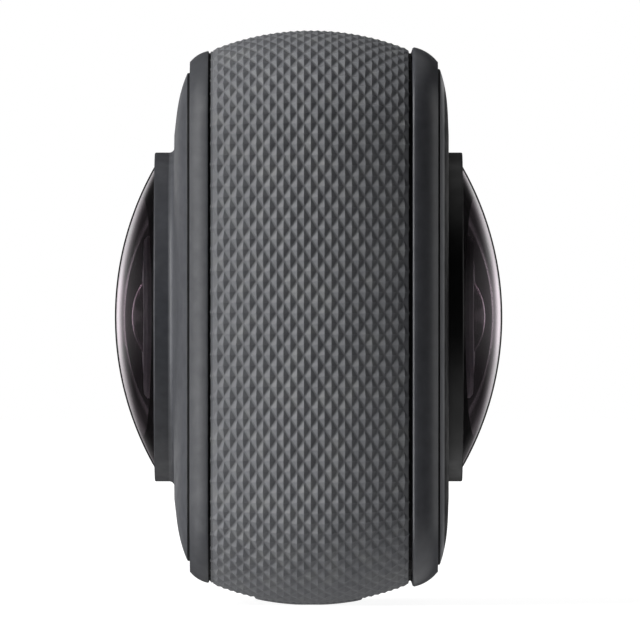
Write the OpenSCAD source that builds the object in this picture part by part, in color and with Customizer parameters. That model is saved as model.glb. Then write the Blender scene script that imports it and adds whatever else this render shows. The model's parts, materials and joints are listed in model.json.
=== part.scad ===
// Pocket 360 degree camera: two fisheye lenses back to back in a rounded square body
// with a crowned grip band round its edge.
// X is the lens axis with the front lens at -X, +Y is the control side, Z is up.
// The foot of the base plate stands on z = 0.

/* [Body] */
// Height and depth of the body over the crown of the grip band
body_h = 53; // [51:0.5:57]
// Corner radius of the body at the crown of the grip band
corner_r = 9.8; // [9.4:0.1:10.8]
// Radius of the crown across the width of the band
crown_r = 23.9; // [22:0.1:30]
// Edge of the band on the front side, from the lens mid plane
front_band_edge = 8.85; // [8.6:0.05:8.95]
// Edge of the band on the rear side, from the lens mid plane
rear_band_edge = 9.29; // [9.1:0.01:9.4]
// Thickness of the band at its crown
band_t = 2.9; // [2.6:0.1:3.2]
// Wall of the frame under the band
frame_wall = 1.5; // [1.2:0.1:1.8]
// End of the frame on the front side, from the lens mid plane
front_frame_end = 9; // [8.95:0.05:9.2]
// End of the frame on the rear side, from the lens mid plane
rear_frame_end = 9.5; // [9.4:0.05:9.7]

/* [Trim rings] */
// Height of the front trim ring along the lens axis
front_ring_h = 1.9; // [1.7:0.05:2.1]
// Height of the rear trim ring along the lens axis
rear_ring_h = 2.4; // [2.2:0.05:2.6]
// Reach of the front ring outside the corner axes, at its foot
front_ring_foot = 7.76; // [7.5:0.02:8]
// Reach of the rear ring outside the corner axes, at its foot
rear_ring_foot = 8.1; // [7.8:0.02:8.3]
// Reach of both rings outside the corner axes, at the shoulder
ring_shoulder = 6.85; // [6.6:0.05:7.1]
// Dark groove between the band and each ring
ring_groove = 0.32; // [0.2:0.02:0.4]
// Ledge of each ring that carries the cover
ring_ledge = 0.9; // [0.7:0.05:1.05]

/* [Covers] */
// Face of the front cover, from the lens mid plane
front_cover_face = 12.45; // [12.3:0.05:12.8]
// Face of the rear cover, from the lens mid plane
rear_cover_face = 12.94; // [12.7:0.02:13.1]
// Fall of the front cover from its face to its edge
front_cover_drop = 1.5; // [1.3:0.05:1.6]
// Fall of the rear cover from its face to its edge
rear_cover_drop = 0.94; // [0.8:0.02:1.1]
// Reach of the front cover outside the corner axes
front_cover_reach = 5.74; // [5.6:0.02:5.9]
// Reach of the rear cover outside the corner axes
rear_cover_reach = 6.1; // [5.9:0.02:6.2]
// Groove between each cover and its ring
cover_groove = 0.22; // [0.15:0.01:0.3]
// Inner face of both covers, from the lens mid plane
cover_in = 10.95; // [10.8:0.05:11.1]
// Width of the rim under each cover
cover_rim = 1.3; // [1.1:0.1:1.5]
// Thickness of the cover gaskets
gasket_t = 0.15; // [0.1:0.05:0.2]

/* [Lenses] */
// Radius of the lens dome
dome_r = 14.03; // [13.5:0.01:14.4]
// Radius of the dome's outer face
dome_curve = 28.3; // [26:0.1:32]
// Radius of the dome's hollow inner face
dome_hollow = 15.4; // [14.5:0.1:16.5]
// Thickness of the dome at its middle
dome_t = 1.8; // [1.6:0.1:2]
// Height of the dome's straight edge inside the bezel
dome_edge = 0.98; // [0.9:0.02:1.1]
// Front face of the bezels, from the lens mid plane
bezel_face = 14.28; // [14.2:0.02:14.5]
// Seat of the bezels, from the lens mid plane
bezel_seat = 12.94; // [12.9:0.02:13.1]
// Wall of the bezel outside the barrel's neck
bezel_wall = 0.68; // [0.5:0.02:0.9]
// Lip of the bezel over the neck
bezel_lip = 0.28; // [0.2:0.02:0.35]
// Wall of the barrel's neck outside the dome
neck_wall = 0.52; // [0.4:0.02:0.7]
// Width of the seal under the dome
seal_w = 1.7; // [1.4:0.1:2]
// Thickness of the seal under the dome
seal_t = 0.25; // [0.2:0.05:0.3]
// Depth of the baffle's seat below the dome's seat
baffle_depth = 1.25; // [1:0.05:1.5]
// Radius of the retainer of the inner lens
retainer_r = 7.55; // [7.2:0.05:7.8]
// Front of the retainer, below the bezel's front face
retainer_drop = 0.35; // [0.3:0.05:0.6]
// Radius of the inner lens
inner_lens_r = 4.9; // [4.6:0.1:5.1]
// Radius of the inner lens's front face
inner_curve = 8.7; // [8.2:0.1:10]
// Radius of the relay lens
relay_r = 5.5; // [5.2:0.1:5.8]
// Radius of both faces of the relay lens
relay_curve = 11; // [10:0.5:14]
// Outer radius of the barrel inside the body
tube_r = 11.5; // [11:0.1:11.8]
// Lip of the barrel's flange outside its neck
flange_lip = 3.3; // [3.2:0.1:3.6]

/* [Carriers] */
// Inner face of the lens plates, from the lens mid plane
plate_in = 7.6; // [7.5:0.05:7.65]
// Thickness of the lens plates
plate_t = 1.3; // [1.2:0.05:1.3]
// Radius of the posts in the frame's corners
post_r = 2.4; // [2.2:0.1:2.5]
// Radius of the lens plate screws
plate_screw_r = 1; // [0.8:0.1:1.1]
// Radius of the barrel flange screws and the board screws
small_screw_r = 0.75; // [0.6:0.05:0.8]

/* [Electronics] */
// Front face of the sensor boards, from the lens mid plane
board_s = 2; // [1.9:0.05:2.1]
// Thickness of all boards
board_t = 0.8; // [0.6:0.1:0.9]
// Side of the square sensor boards
sensor_board_w = 25; // [24.6:0.1:26]
// Width of the image sensors
sensor_w = 10.4; // [9.5:0.1:10.8]
// Height of the image sensors
sensor_h = 9; // [8:0.1:9.4]
// Thickness of the image sensors
sensor_t = 1.2; // [1:0.1:1.4]
// Side of the square filters over the sensors
filter_w = 10; // [9.8:0.1:10.2]
// Thickness of the filters
filter_t = 0.4; // [0.3:0.05:0.5]
// Thickness of the heat spreader
spreader_t = 1; // [0.8:0.1:1.2]
// Room between the heat spreader and the main board's screws
spreader_room = 1.6; // [1.2:0.1:2]
// Room between the battery cell and the sensor boards
cell_room = 0.5; // [0.4:0.1:0.8]
// Step of the battery cell's sides inside the sides of the boards
cell_inset = 0.2; // [0.1:0.05:0.4]
// Thickness of the foam pad behind the cell
pad_t = 0.5; // [0.4:0.1:0.8]
// Margin of the cell outside its foam pad
pad_margin = 1; // [0.8:0.1:1.5]
// Room between the frame's posts and the ends of the cell and the main board
post_room = 0.7; // [0.5:0.1:1]
// Room between the frame's posts and the ends of the switch board
switch_room = 1.7; // [1.5:0.1:2]
// Width of the main board and the switch board along the lens axis
board_w = 14; // [13.6:0.1:14.4]
// Space between the main board and the frame's roof
main_board_gap = 4.1; // [3.6:0.1:4.4]
// Side of the square processor
chip_w = 11; // [9:0.5:12]
// Thickness of the processor
chip_t = 1.2; // [0.8:0.1:1.5]

/* [Control side] */
// Width of the control panel
panel_w = 13.2; // [13:0.1:13.8]
// Margin between the ends of the control panel and the body's corners
panel_margin = 0.5; // [0.4:0.05:0.6]
// Step of the panel's crown below the crown of the band
panel_sink = 0.1; // [0.05:0.05:0.2]
// Radius of the shutter button, as a share of the room between light and microphones
shutter_share = 0.241; // [0.22:0.001:0.245]
// Radius of the power button, as a share of the room between light and microphones
power_share = 0.1205; // [0.1:0.0005:0.125]
// Travel of both buttons
press = 0.35; // [0.25:0.05:0.35]
// Radius of the status light
light_r = 0.7; // [0.5:0.05:0.9]
// Height of the status light above the port door
light_over_door = 2.2; // [2:0.1:2.4]
// Radius of the microphone holes
mic_hole_r = 0.4; // [0.3:0.05:0.6]
// Distance of the microphone holes from the panel's upper end
mic_margin = 2.4; // [2.2:0.1:2.6]
// Width of the port door
door_w = 10.4; // [10:0.1:10.6]
// Height of the port door above its hinge
door_l = 8.2; // [8:0.1:8.3]
// Distance of the door's opening from the panel's lower end
opening_margin = 1; // [0.8:0.1:1.2]
// Depth of the hinge below the panel's crown
hinge_deep = 1.7; // [1.65:0.05:1.75]
// Radius of the door's knuckle
knuckle_r = 1.05; // [0.95:0.05:1.1]
// Radius of the hinge pin
pin_r = 0.42; // [0.35:0.01:0.5]
// Height of the charging socket's centre above the door's hinge
usb_over_hinge = 4.4; // [4.2:0.1:4.6]
// Width of the charging socket's shell
usb_w = 8.94; // [8.5:0.02:9]
// Height of the charging socket's shell
usb_h = 3.2; // [3:0.05:3.4]
// Length of the charging socket
usb_l = 6.6; // [6:0.1:7]

/* [Base] */
// Width of the base plate
base_w = 10; // [9.8:0.1:10.6]
// Length of the base plate
base_l = 30; // [28:0.5:31]
// Width of the foot under the base plate
foot_w = 6.4; // [6:0.1:7]
// Radius of the tripod thread's bore, quarter inch at 20 turns
tripod_r = 2.55; // [2.5:0.01:2.6]
// Depth of the tripod thread
tripod_depth = 6.2; // [5.5:0.1:6.4]
// Radius of the tripod insert
insert_r = 4; // [3.8:0.1:4.2]
// Radius of the base plate screws
base_screw_r = 1; // [0.8:0.1:1.1]

/* [Fits] */
// Gap at the sides of panels and doors
side_gap = 0.15; // [0.1:0.05:0.2]
// Gap round a part that slides
slide_gap = 0.15; // [0.1:0.05:0.2]
// Gap round a part that is set in place
fit_gap = 0.05; // [0.03:0.01:0.08]
// Gap round the hinge pin
pin_gap = 0.03; // [0.02:0.01:0.06]
// Gap round a screw thread
thread_gap = 0.02; // [0.01:0.01:0.04]
// Room that the opened door keeps from the panel
door_gap = 0.3; // [0.25:0.05:0.35]

/* [Hidden] */
$fn = 96;

// Levels of the body, measured from the lens axis or from the corner axes
axis_z = body_h / 2;
half_flat = body_h / 2 - corner_r;
crown_x = (rear_band_edge - front_band_edge) / 2;
band_seat = corner_r - band_t;
frame_in = band_seat - frame_wall;
inner_half = half_flat + frame_in;
outer_half = half_flat + band_seat;
panel_crown = body_h / 2 - panel_sink;
panel_l = 2 * (half_flat - panel_margin);

// Radii and levels of a lens
neck_in = dome_r + fit_gap;
neck_r = neck_in + neck_wall;
bezel_r = neck_r + bezel_wall;
neck_top = bezel_face - bezel_lip;
dome_seat = bezel_face - dome_edge;
dome_tip = bezel_face + dome_curve - sqrt(pow(dome_curve, 2) - pow(dome_r, 2));
neck_seat = dome_seat - seal_t;
baffle_seat = neck_seat - baffle_depth;
baffle_r = neck_in - seal_w;
flange_r = neck_r + flange_lip;
plate_out = plate_in + plate_t;
retainer_front = bezel_face - retainer_drop;
retainer_lip = 0.3;
retainer_l = 4;
inner_opening = inner_lens_r - 0.55;
inner_tip = retainer_front - retainer_lip + fall(inner_curve, inner_opening);
inner_edge = inner_tip - fall(inner_curve, inner_lens_r);
inner_back = inner_edge - 0.9;
relay_front = 8.2;
relay_edge = 1.2;
relay_bulge = fall(relay_curve, relay_r);
chamber_s = 4.4;
chamber_r = 7.4;
edge_break = 0.12;

// Places of the screws
post_at = half_flat + (frame_in - post_r + 0.4) / sqrt(2);
flange_screw_at = neck_r + flange_lip / 2;
pilot_depth = 5;
screw_head = 1.75;
head_depth = 0.9;
board_post_x = board_w / 2 - 1.4;
board_post_in = 3;
post_edge = post_at - post_r;
main_board_l = 2 * (post_edge - post_room);
main_post_y = main_board_l / 2 - board_post_in;
switch_board_h = 2 * (post_edge - switch_room);
switch_post_z = switch_board_h / 2 - board_post_in;
board_post_r = 1.3;
board_head_t = 0.6;
base_screw_y = base_l / 2 - 3.6;
base_boss_r = 2;
base_boss_h = 2.8;

// Levels of the boards behind the walls
main_board_z = inner_half - main_board_gap;
switch_board_y = inner_half - 1.1;
switch_h = 1.6;
switch_w = 4.2;
flex_t = 0.2;
flex_w = 8;
flex_lap = 1;
flex_tail = 1.5;

// Battery cell and heat spreader, in the room that the posts and boards leave
cell_t = inner_half - pad_t - sensor_board_w / 2 - cell_room;
cell_h = 2 * (post_edge - post_room);
cell_w = board_w - 2 * cell_inset;
spreader_h = 2 * (main_board_z - board_t - board_head_t - spreader_room);

// Levels of the control side
mic_x = 3.4;
mic_up = panel_l / 2 - mic_margin;
mic_drop = 0.6;
mic_size = [3, 2.4, 1];
opening_low = opening_margin - panel_l / 2;
hinge_up = opening_low + hinge_deep + door_gap;
door_top = hinge_up + door_l;
usb_up = hinge_up + usb_over_hinge;
light_up = door_top + light_over_door;
shutter_r = (mic_up - light_up) * shutter_share;
shutter_up = mic_up - 1.2 * shutter_r;
power_r = (mic_up - light_up) * power_share;
power_up = light_up + 2 * power_r;
window_w = 10;
window_top = mic_up + 0.8;
window_low = hinge_up + 1.2;
cap_top = panel_crown - 0.12;
flange_t = 0.7;
flange_out = 0.55;
flange_top = outer_half + 1.2;
stem_end = switch_board_y + switch_h + press + fit_gap;
door_floor = panel_crown - 2.2;
hinge_level = panel_crown - hinge_deep;
pin_l = door_w + 2;
door_gasket_t = 0.3;
usb_mouth = outer_half - 0.2;

// Levels of the base
collar_r = insert_r + 1;
collar_t = 1.2;
insert_sink = 0.3;
insert_top = body_h / 2 - insert_sink - tripod_depth - 0.6;

// Fall of a spherical face of radius c from its tip to the radius r
function fall(c, r) = c - sqrt(pow(c, 2) - pow(r, 2));

// Radius of an arc that starts flat and falls by drop over the reach
function arc_radius(reach, drop) = (pow(reach, 2) + pow(drop, 2)) / (2 * drop);

// Frames with z pointing out of the named wall, measured from the lens axis
module front() {
    translate([0, 0, axis_z]) rotate([0, -90, 0]) children();
}

module rear() {
    translate([0, 0, axis_z]) rotate([0, 90, 0]) children();
}

module control_side() {
    translate([0, 0, axis_z]) rotate([90, 0, 180]) children();
}

module battery_side() {
    translate([0, 0, axis_z]) rotate([90, 0, 0]) children();
}

module under_side() {
    translate([0, 0, axis_z]) rotate([180, 0, 0]) children();
}

module top_side() {
    translate([0, 0, axis_z]) children();
}

// Carries a profile round the square body: x is the reach outside the corner axes
module square_ring() {
    for (quarter = [0:3]) rotate(quarter * 90) translate([half_flat, half_flat, 0]) {
        rotate_extrude(angle = 90) children();
        rotate([90, 0, 0]) linear_extrude(2 * half_flat) children();
    }
}

// Rounded square outline that reaches outside the corner axes
module square_outline(reach) {
    for (turn = [0, 90]) rotate(turn) {
        square([2 * (half_flat + reach), 2 * half_flat], center = true);
    }
    at_corners(half_flat) circle(reach);
}

module at_corners(at) {
    for (x = [-at, at], y = [-at, at]) translate([x, y]) children();
}

module rounded_box(size, r) {
    linear_extrude(size[2]) {
        square([size[0] - 2 * r, size[1]], center = true);
        square([size[0], size[1] - 2 * r], center = true);
        for (x = [-1, 1], y = [-1, 1]) {
            translate([x * (size[0] / 2 - r), y * (size[1] / 2 - r)]) circle(r);
        }
    }
}

module block(size) {
    translate([-size[0] / 2, -size[1] / 2, 0]) cube(size);
}

// Screw along z with a flat head that ends at z = 0
module flat_screw(r, head_r, head_h, length) {
    translate([0, 0, -length]) cylinder(r = r, h = length);
    translate([0, 0, -head_h]) cylinder(r1 = r, r2 = head_r, h = head_h);
}

// Band and frame

module band_profile() {
    intersection() {
        translate([corner_r - crown_r, crown_x]) circle(crown_r, $fn = 180);
        translate([band_seat, -front_band_edge]) {
            square([band_t, front_band_edge + rear_band_edge]);
        }
    }
}

module panel_pocket() {
    translate([0, 0, outer_half]) block([panel_w + 2 * side_gap, panel_l + 2 * side_gap, band_t + 1]);
}

module base_pocket() {
    translate([0, 0, outer_half]) {
        rounded_box([base_w + 2 * side_gap, base_l + 2 * side_gap, band_t + 1], 1.5 + side_gap);
    }
}

module grip_band() {
    color("#55565a") difference() {
        rear() square_ring() band_profile();
        control_side() panel_pocket();
        under_side() base_pocket();
    }
}

module frame_posts() {
    rear() translate([0, 0, -plate_in]) at_corners(post_at) cylinder(r = post_r, h = 2 * plate_in);
    top_side() for (x = [-1, 1], y = [-1, 1]) {
        translate([x * board_post_x, y * main_post_y, main_board_z]) {
            cylinder(r = board_post_r, h = main_board_gap + frame_wall / 2);
        }
    }
    control_side() for (x = [-1, 1], y = [-1, 1]) {
        translate([x * (board_w / 2 - 0.9), y * switch_post_z, switch_board_y]) {
            cylinder(r = 0.9, h = inner_half - switch_board_y + frame_wall / 2);
        }
    }
    under_side() for (y = [-1, 1]) {
        translate([0, y * base_screw_y, inner_half - base_boss_h]) {
            cylinder(r = base_boss_r, h = base_boss_h + frame_wall / 2);
        }
    }
}

module frame_holes() {
    for (end = [0, 1]) rear() mirror([0, 0, end]) at_corners(post_at) {
        translate([0, 0, plate_in - pilot_depth]) {
            cylinder(r = plate_screw_r + thread_gap, h = pilot_depth + 1);
        }
    }
    top_side() for (x = [-1, 1], y = [-1, 1]) {
        translate([x * board_post_x, y * main_post_y, main_board_z - 1]) {
            cylinder(r = small_screw_r + thread_gap, h = main_board_gap);
        }
    }
    under_side() {
        cylinder(r = insert_r + side_gap, h = body_h);
        for (y = [-1, 1]) translate([0, y * base_screw_y, inner_half - base_boss_h - 1]) {
            cylinder(r = base_screw_r + thread_gap, h = body_h);
        }
    }
    control_side() translate([-window_w / 2, window_low, inner_half - 1]) {
        cube([window_w, window_top - window_low, frame_wall + 2]);
    }
}

module mid_frame() {
    color("#3b3c3f") difference() {
        union() {
            rear() square_ring() translate([frame_in, -front_frame_end]) {
                square([frame_wall, front_frame_end + rear_frame_end]);
            }
            frame_posts();
        }
        frame_holes();
    }
}

// Rings and covers

module ring_profile(start, height, foot, cover_reach) {
    rim_in = cover_reach + cover_groove;
    polygon([
        [frame_in - cover_rim + 0.3, start], [band_seat + ring_groove, start],
        [band_seat + ring_groove, start + ring_groove], [foot, start + ring_groove],
        [ring_shoulder, start + height - edge_break * 1.5], [ring_shoulder - edge_break * 2, start + height],
        [rim_in, start + height], [rim_in, start + ring_ledge],
        [frame_in - cover_rim + 0.3, start + ring_ledge]
    ]);
}

module front_trim_ring() {
    color("#66676a") front() square_ring() {
        ring_profile(front_frame_end, front_ring_h, front_ring_foot, front_cover_reach);
    }
}

module rear_trim_ring() {
    color("#3a3b3d") rear() square_ring() {
        ring_profile(rear_frame_end, rear_ring_h, rear_ring_foot, rear_cover_reach);
    }
}

module cover_shell(face, drop, reach, foot) {
    arc = arc_radius(reach, drop);
    difference() {
        union() {
            square_ring() intersection() {
                translate([0, face - arc]) circle(arc, $fn = 180);
                translate([0, foot]) square([reach, face - foot]);
            }
            translate([0, 0, foot]) block([2 * half_flat, 2 * half_flat, face - foot]);
        }
        translate([0, 0, foot - 1]) linear_extrude(cover_in - foot + 1) square_outline(reach - cover_rim);
        cylinder(r = neck_r + side_gap, h = bezel_face);
    }
}

// Round collar between the front cover's face and the bezel, with a hollow fillet
module cover_collar(face) {
    rise = bezel_seat - face;
    rotate_extrude() difference() {
        translate([neck_r + side_gap, face - 0.3]) square([bezel_wall - side_gap + rise, rise + 0.3]);
        translate([bezel_r + rise, bezel_seat]) circle(rise);
    }
}

module front_cover() {
    color("#505155") front() {
        cover_shell(front_cover_face, front_cover_drop, front_cover_reach, front_cover_foot());
        cover_collar(front_cover_face);
    }
}

module rear_cover() {
    color("#454649") rear() {
        cover_shell(rear_cover_face, rear_cover_drop, rear_cover_reach, rear_cover_foot());
    }
}

function front_cover_foot() = front_frame_end + ring_ledge + gasket_t;
function rear_cover_foot() = rear_frame_end + ring_ledge + gasket_t;

module cover_gasket(foot, reach) {
    square_ring() translate([reach - cover_rim + fit_gap, foot - gasket_t]) {
        square([cover_rim - 2 * fit_gap, gasket_t]);
    }
}

module front_cover_gasket() {
    color("#1c1c1d") front() cover_gasket(front_cover_foot(), front_cover_reach);
}

module rear_cover_gasket() {
    color("#1c1c1d") rear() cover_gasket(rear_cover_foot(), rear_cover_reach);
}

// Lens pieces, built along z from the lens mid plane

module lens_bezel() {
    color("#2a2b2d") rotate_extrude() polygon([
        [neck_r + thread_gap, bezel_seat], [bezel_r, bezel_seat], [bezel_r, bezel_face - edge_break],
        [bezel_r - edge_break, bezel_face], [neck_in, bezel_face],
        [neck_in, neck_top], [neck_r + thread_gap, neck_top]
    ]);
}

module lens_dome() {
    color("#8a7f88") rotate_extrude() difference() {
        intersection() {
            translate([0, dome_tip - dome_curve]) circle(dome_curve, $fn = 360);
            translate([0, dome_seat]) square([dome_r, dome_tip - dome_seat]);
        }
        translate([0, dome_tip - dome_t - dome_hollow]) circle(dome_hollow, $fn = 180);
    }
}

module lens_seal() {
    color("#141415") rotate_extrude() translate([baffle_r + fit_gap, neck_seat]) {
        square([seal_w - 2 * fit_gap, seal_t]);
    }
}

module baffle() {
    front_level = dome_seat - 0.1;
    color("#111112") rotate_extrude() polygon([
        [retainer_r + slide_gap, baffle_seat], [baffle_r - fit_gap, baffle_seat],
        [baffle_r - fit_gap, front_level - 0.5], [baffle_r - 0.55, front_level],
        [retainer_r + 1.2, front_level], [retainer_r + slide_gap, front_level - 0.7]
    ]);
}

module lens_retainer() {
    bore = inner_lens_r + fit_gap;
    lip_level = retainer_front - retainer_lip;
    color("#2d2d2f") rotate_extrude() polygon([
        [bore, retainer_front - retainer_l], [retainer_r, retainer_front - retainer_l],
        [retainer_r, retainer_front - 0.35], [retainer_r - 0.35, retainer_front],
        [inner_opening, retainer_front], [inner_opening, lip_level + fit_gap],
        [bore, lip_level + fit_gap]
    ]);
}

module inner_lens() {
    color("#5b5864") rotate_extrude() intersection() {
        translate([0, inner_tip - inner_curve]) circle(inner_curve, $fn = 180);
        translate([0, inner_back]) square([inner_lens_r, inner_tip - inner_back]);
    }
}

module relay_lens() {
    color("#6a6a75") rotate_extrude() intersection() {
        translate([0, relay_front + relay_bulge - relay_curve]) circle(relay_curve, $fn = 180);
        translate([0, relay_front - relay_edge - relay_bulge + relay_curve]) circle(relay_curve, $fn = 180);
        translate([0, relay_front - relay_edge - relay_bulge]) square([relay_r, relay_edge + 2 * relay_bulge]);
    }
}

module lens_barrel() {
    stop_r = relay_r - 0.6;
    stop_s = relay_front + relay_bulge - fall(relay_curve, stop_r) + fit_gap;
    color("#1d1d1f") difference() {
        rotate_extrude() polygon([
            [chamber_r, board_s], [tube_r, board_s], [tube_r, plate_out], [flange_r, plate_out],
            [flange_r, cover_in], [neck_r, cover_in], [neck_r, neck_top], [neck_in, neck_top],
            [neck_in, neck_seat], [baffle_r, neck_seat], [baffle_r, baffle_seat],
            [retainer_r + thread_gap, baffle_seat], [retainer_r + thread_gap, stop_s + 0.6],
            [stop_r, stop_s + 0.6], [stop_r, stop_s], [relay_r + fit_gap, stop_s],
            [relay_r + fit_gap, chamber_s], [chamber_r, chamber_s]
        ]);
        at_flange_screws() flat_screw(small_screw_r + thread_gap, 1.4 + thread_gap, 0.7, 3);
    }
}

module at_flange_screws() {
    for (turn = [0:90:270]) rotate(turn + 45) translate([flange_screw_at, 0, cover_in]) children();
}

module lens_plate() {
    color("#8d9094") difference() {
        translate([0, 0, plate_in]) linear_extrude(plate_t) square_outline(frame_in - side_gap);
        cylinder(r = tube_r + fit_gap, h = bezel_face);
        at_flange_screws() flat_screw(small_screw_r + thread_gap, 1.4, 0.7, cover_in - plate_in + 1);
        translate([0, 0, plate_out]) at_corners(post_at) {
            flat_screw(plate_screw_r + thread_gap, screw_head + thread_gap, head_depth, plate_t + 1);
        }
    }
}

module ir_filter() {
    color("#4a6a78") translate([0, 0, chamber_s - filter_t]) block([filter_w, filter_w, filter_t]);
}

module image_sensor() {
    color("#3c4a3f") translate([0, 0, board_s]) block([sensor_w, sensor_h, sensor_t]);
}

module sensor_board() {
    color("#1f5a3c") translate([0, 0, board_s - board_t]) {
        rounded_box([sensor_board_w, sensor_board_w, board_t], 1.5);
    }
}

// Ribbon from the top of a sensor board up to the main board
module sensor_flex(x) {
    low = tube_r + 0.2;
    color("#b8862d") top_side() translate([x, -flex_w / 2, low]) {
        cube([flex_t, flex_w, main_board_z - board_t - low]);
    }
}

module front_lens_bezel() { front() lens_bezel(); }
module rear_lens_bezel() { rear() lens_bezel(); }
module front_lens_dome() { front() lens_dome(); }
module rear_lens_dome() { rear() lens_dome(); }
module front_lens_seal() { front() lens_seal(); }
module rear_lens_seal() { rear() lens_seal(); }
module front_baffle() { front() baffle(); }
module rear_baffle() { rear() baffle(); }
module front_lens_retainer() { front() lens_retainer(); }
module rear_lens_retainer() { rear() lens_retainer(); }
module front_inner_lens() { front() inner_lens(); }
module rear_inner_lens() { rear() inner_lens(); }
module front_relay_lens() { front() relay_lens(); }
module rear_relay_lens() { rear() relay_lens(); }
module front_lens_barrel() { front() lens_barrel(); }
module rear_lens_barrel() { rear() lens_barrel(); }
module front_lens_plate() { front() lens_plate(); }
module rear_lens_plate() { rear() lens_plate(); }
module front_ir_filter() { front() ir_filter(); }
module rear_ir_filter() { rear() ir_filter(); }
module front_image_sensor() { front() image_sensor(); }
module rear_image_sensor() { rear() image_sensor(); }
module front_sensor_board() { front() sensor_board(); }
module rear_sensor_board() { rear() sensor_board(); }
module front_sensor_flex() { sensor_flex(-board_s - flex_t); }
module rear_sensor_flex() { sensor_flex(board_s); }

// Screws of both lens modules

module plate_screws() {
    color("#b9bbbe") for (end = [0, 1]) rear() mirror([0, 0, end]) {
        translate([0, 0, plate_out]) at_corners(post_at) {
            flat_screw(plate_screw_r, screw_head, head_depth, plate_t + pilot_depth - 0.5);
        }
    }
}

module flange_screws() {
    color("#b9bbbe") for (end = [0, 1]) rear() mirror([0, 0, end]) {
        at_flange_screws() flat_screw(small_screw_r, 1.4, 0.7, cover_in - plate_in);
    }
}

// Heat path and power

module heat_spreader() {
    color("#a7a9ac") rear() translate([0, 0, -spreader_t / 2]) {
        rounded_box([spreader_h, sensor_board_w - 2, spreader_t], 1.5);
    }
}

module thermal_pads() {
    pad = board_s - board_t - spreader_t / 2;
    color("#8fa3b5") for (end = [0, 1]) rear() mirror([0, 0, end]) {
        translate([0, 0, spreader_t / 2]) block([sensor_w, sensor_w, pad]);
    }
}

module battery_cell() {
    color("#b4b6b8") battery_side() translate([0, 0, inner_half - pad_t - cell_t]) {
        rounded_box([cell_w, cell_h, cell_t], 2);
    }
}

module battery_pad() {
    color("#4a4a4c") battery_side() translate([0, 0, inner_half - pad_t]) {
        block([cell_w - 2 * pad_margin, cell_h - 4 * pad_margin, pad_t]);
    }
}

// Boards

module main_board() {
    color("#1f5a3c") top_side() difference() {
        translate([0, 0, main_board_z - board_t]) rounded_box([board_w, main_board_l, board_t], 1);
        for (x = [-1, 1], y = [-1, 1]) translate([x * board_post_x, y * main_post_y, 0]) {
            cylinder(r = small_screw_r + fit_gap, h = inner_half);
        }
    }
}

module processor_chip() {
    color("#202122") top_side() translate([0, 0, main_board_z]) block([chip_w, chip_w, chip_t]);
}

module board_screws() {
    color("#b9bbbe") top_side() for (x = [-1, 1], y = [-1, 1]) {
        translate([x * board_post_x, y * main_post_y, main_board_z - board_t]) {
            cylinder(r = small_screw_r, h = main_board_gap - 1);
            translate([0, 0, -board_head_t]) cylinder(r = board_post_r, h = board_head_t);
        }
    }
}

module switch_board() {
    color("#1f5a3c") control_side() difference() {
        translate([0, 0, switch_board_y - board_t]) rounded_box([board_w, switch_board_h, board_t], 1);
        translate([0, usb_up, switch_board_y - board_t - 1]) {
            block([usb_w + 2 * side_gap, usb_h + 2 * side_gap, board_t + 2]);
        }
    }
}

// Ribbon from the back of the switch board to the underside of the main board
module switch_flex() {
    back = switch_board_y - board_t;
    under = main_board_z - board_t;
    turn = main_board_l / 2 - flex_lap;
    level = switch_board_h / 2 - flex_lap / 2;
    color("#b8862d") control_side() translate([-flex_w / 2, 0, 0]) {
        translate([0, level - flex_tail, back - flex_t]) cube([flex_w, flex_tail, flex_t]);
        translate([0, level - flex_t, turn]) cube([flex_w, flex_t, back - turn]);
        translate([0, level - flex_t, turn]) cube([flex_w, under - level + flex_t, flex_t]);
    }
}

module tact_switch(up, dome) {
    control_side() translate([0, up, switch_board_y]) {
        block([switch_w, switch_w, switch_h - 0.5]);
        cylinder(r = dome, h = switch_h);
    }
}

module shutter_switch() {
    color("#c4c5c7") tact_switch(shutter_up, 1.3);
}

module power_switch() {
    color("#c4c5c7") tact_switch(power_up, 1);
}

module microphones() {
    color("#c9b36a") control_side() for (x = [-mic_x, mic_x]) {
        translate([x, mic_up - mic_drop, switch_board_y]) block(mic_size);
    }
}

module usb_socket() {
    color("#c9cacc") control_side() translate([0, usb_up, usb_mouth - usb_l]) {
        difference() {
            union() {
                rounded_box([usb_w, usb_h, usb_l], usb_h / 2 - 0.05);
                translate([0, 0, switch_board_y - usb_mouth + usb_l]) block([usb_w + 0.9, usb_h + 0.9, 0.4]);
            }
            translate([0, 0, 1]) rounded_box([usb_w - 0.6, usb_h - 0.6, usb_l], usb_h / 2 - 0.35);
        }
        block([usb_w - 2.2, 0.7, usb_l - 0.8]);
    }
}

// Control side

module panel_shape(half_w, low, high, floor) {
    rotate([90, 0, 0]) translate([0, 0, -high]) linear_extrude(high - low) intersection() {
        translate([-crown_x, panel_crown - crown_r]) circle(crown_r, $fn = 180);
        translate([-half_w, floor]) square([2 * half_w, body_h / 2 - floor]);
    }
}

module button_hole(up, r) {
    translate([0, up, 0]) {
        cylinder(r = r + slide_gap, h = body_h);
        cylinder(r = r + flange_out + slide_gap, h = flange_top + fit_gap);
    }
}

module control_panel() {
    color("#38393b") control_side() difference() {
        panel_shape(panel_w / 2, -panel_l / 2, panel_l / 2, outer_half);
        button_hole(shutter_up, shutter_r);
        button_hole(power_up, power_r);
        translate([0, light_up, 0]) cylinder(r = light_r + fit_gap, h = body_h);
        for (x = [-mic_x, mic_x]) translate([x, mic_up, 0]) cylinder(r = mic_hole_r, h = body_h);
        translate([-door_w / 2 - side_gap, opening_low, 0]) {
            cube([door_w + 2 * side_gap, door_top + side_gap - opening_low, body_h]);
        }
        translate([-pin_l / 2, hinge_up, hinge_level]) rotate([0, 90, 0]) {
            cylinder(r = pin_r + thread_gap, h = pin_l);
        }
    }
}

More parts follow.
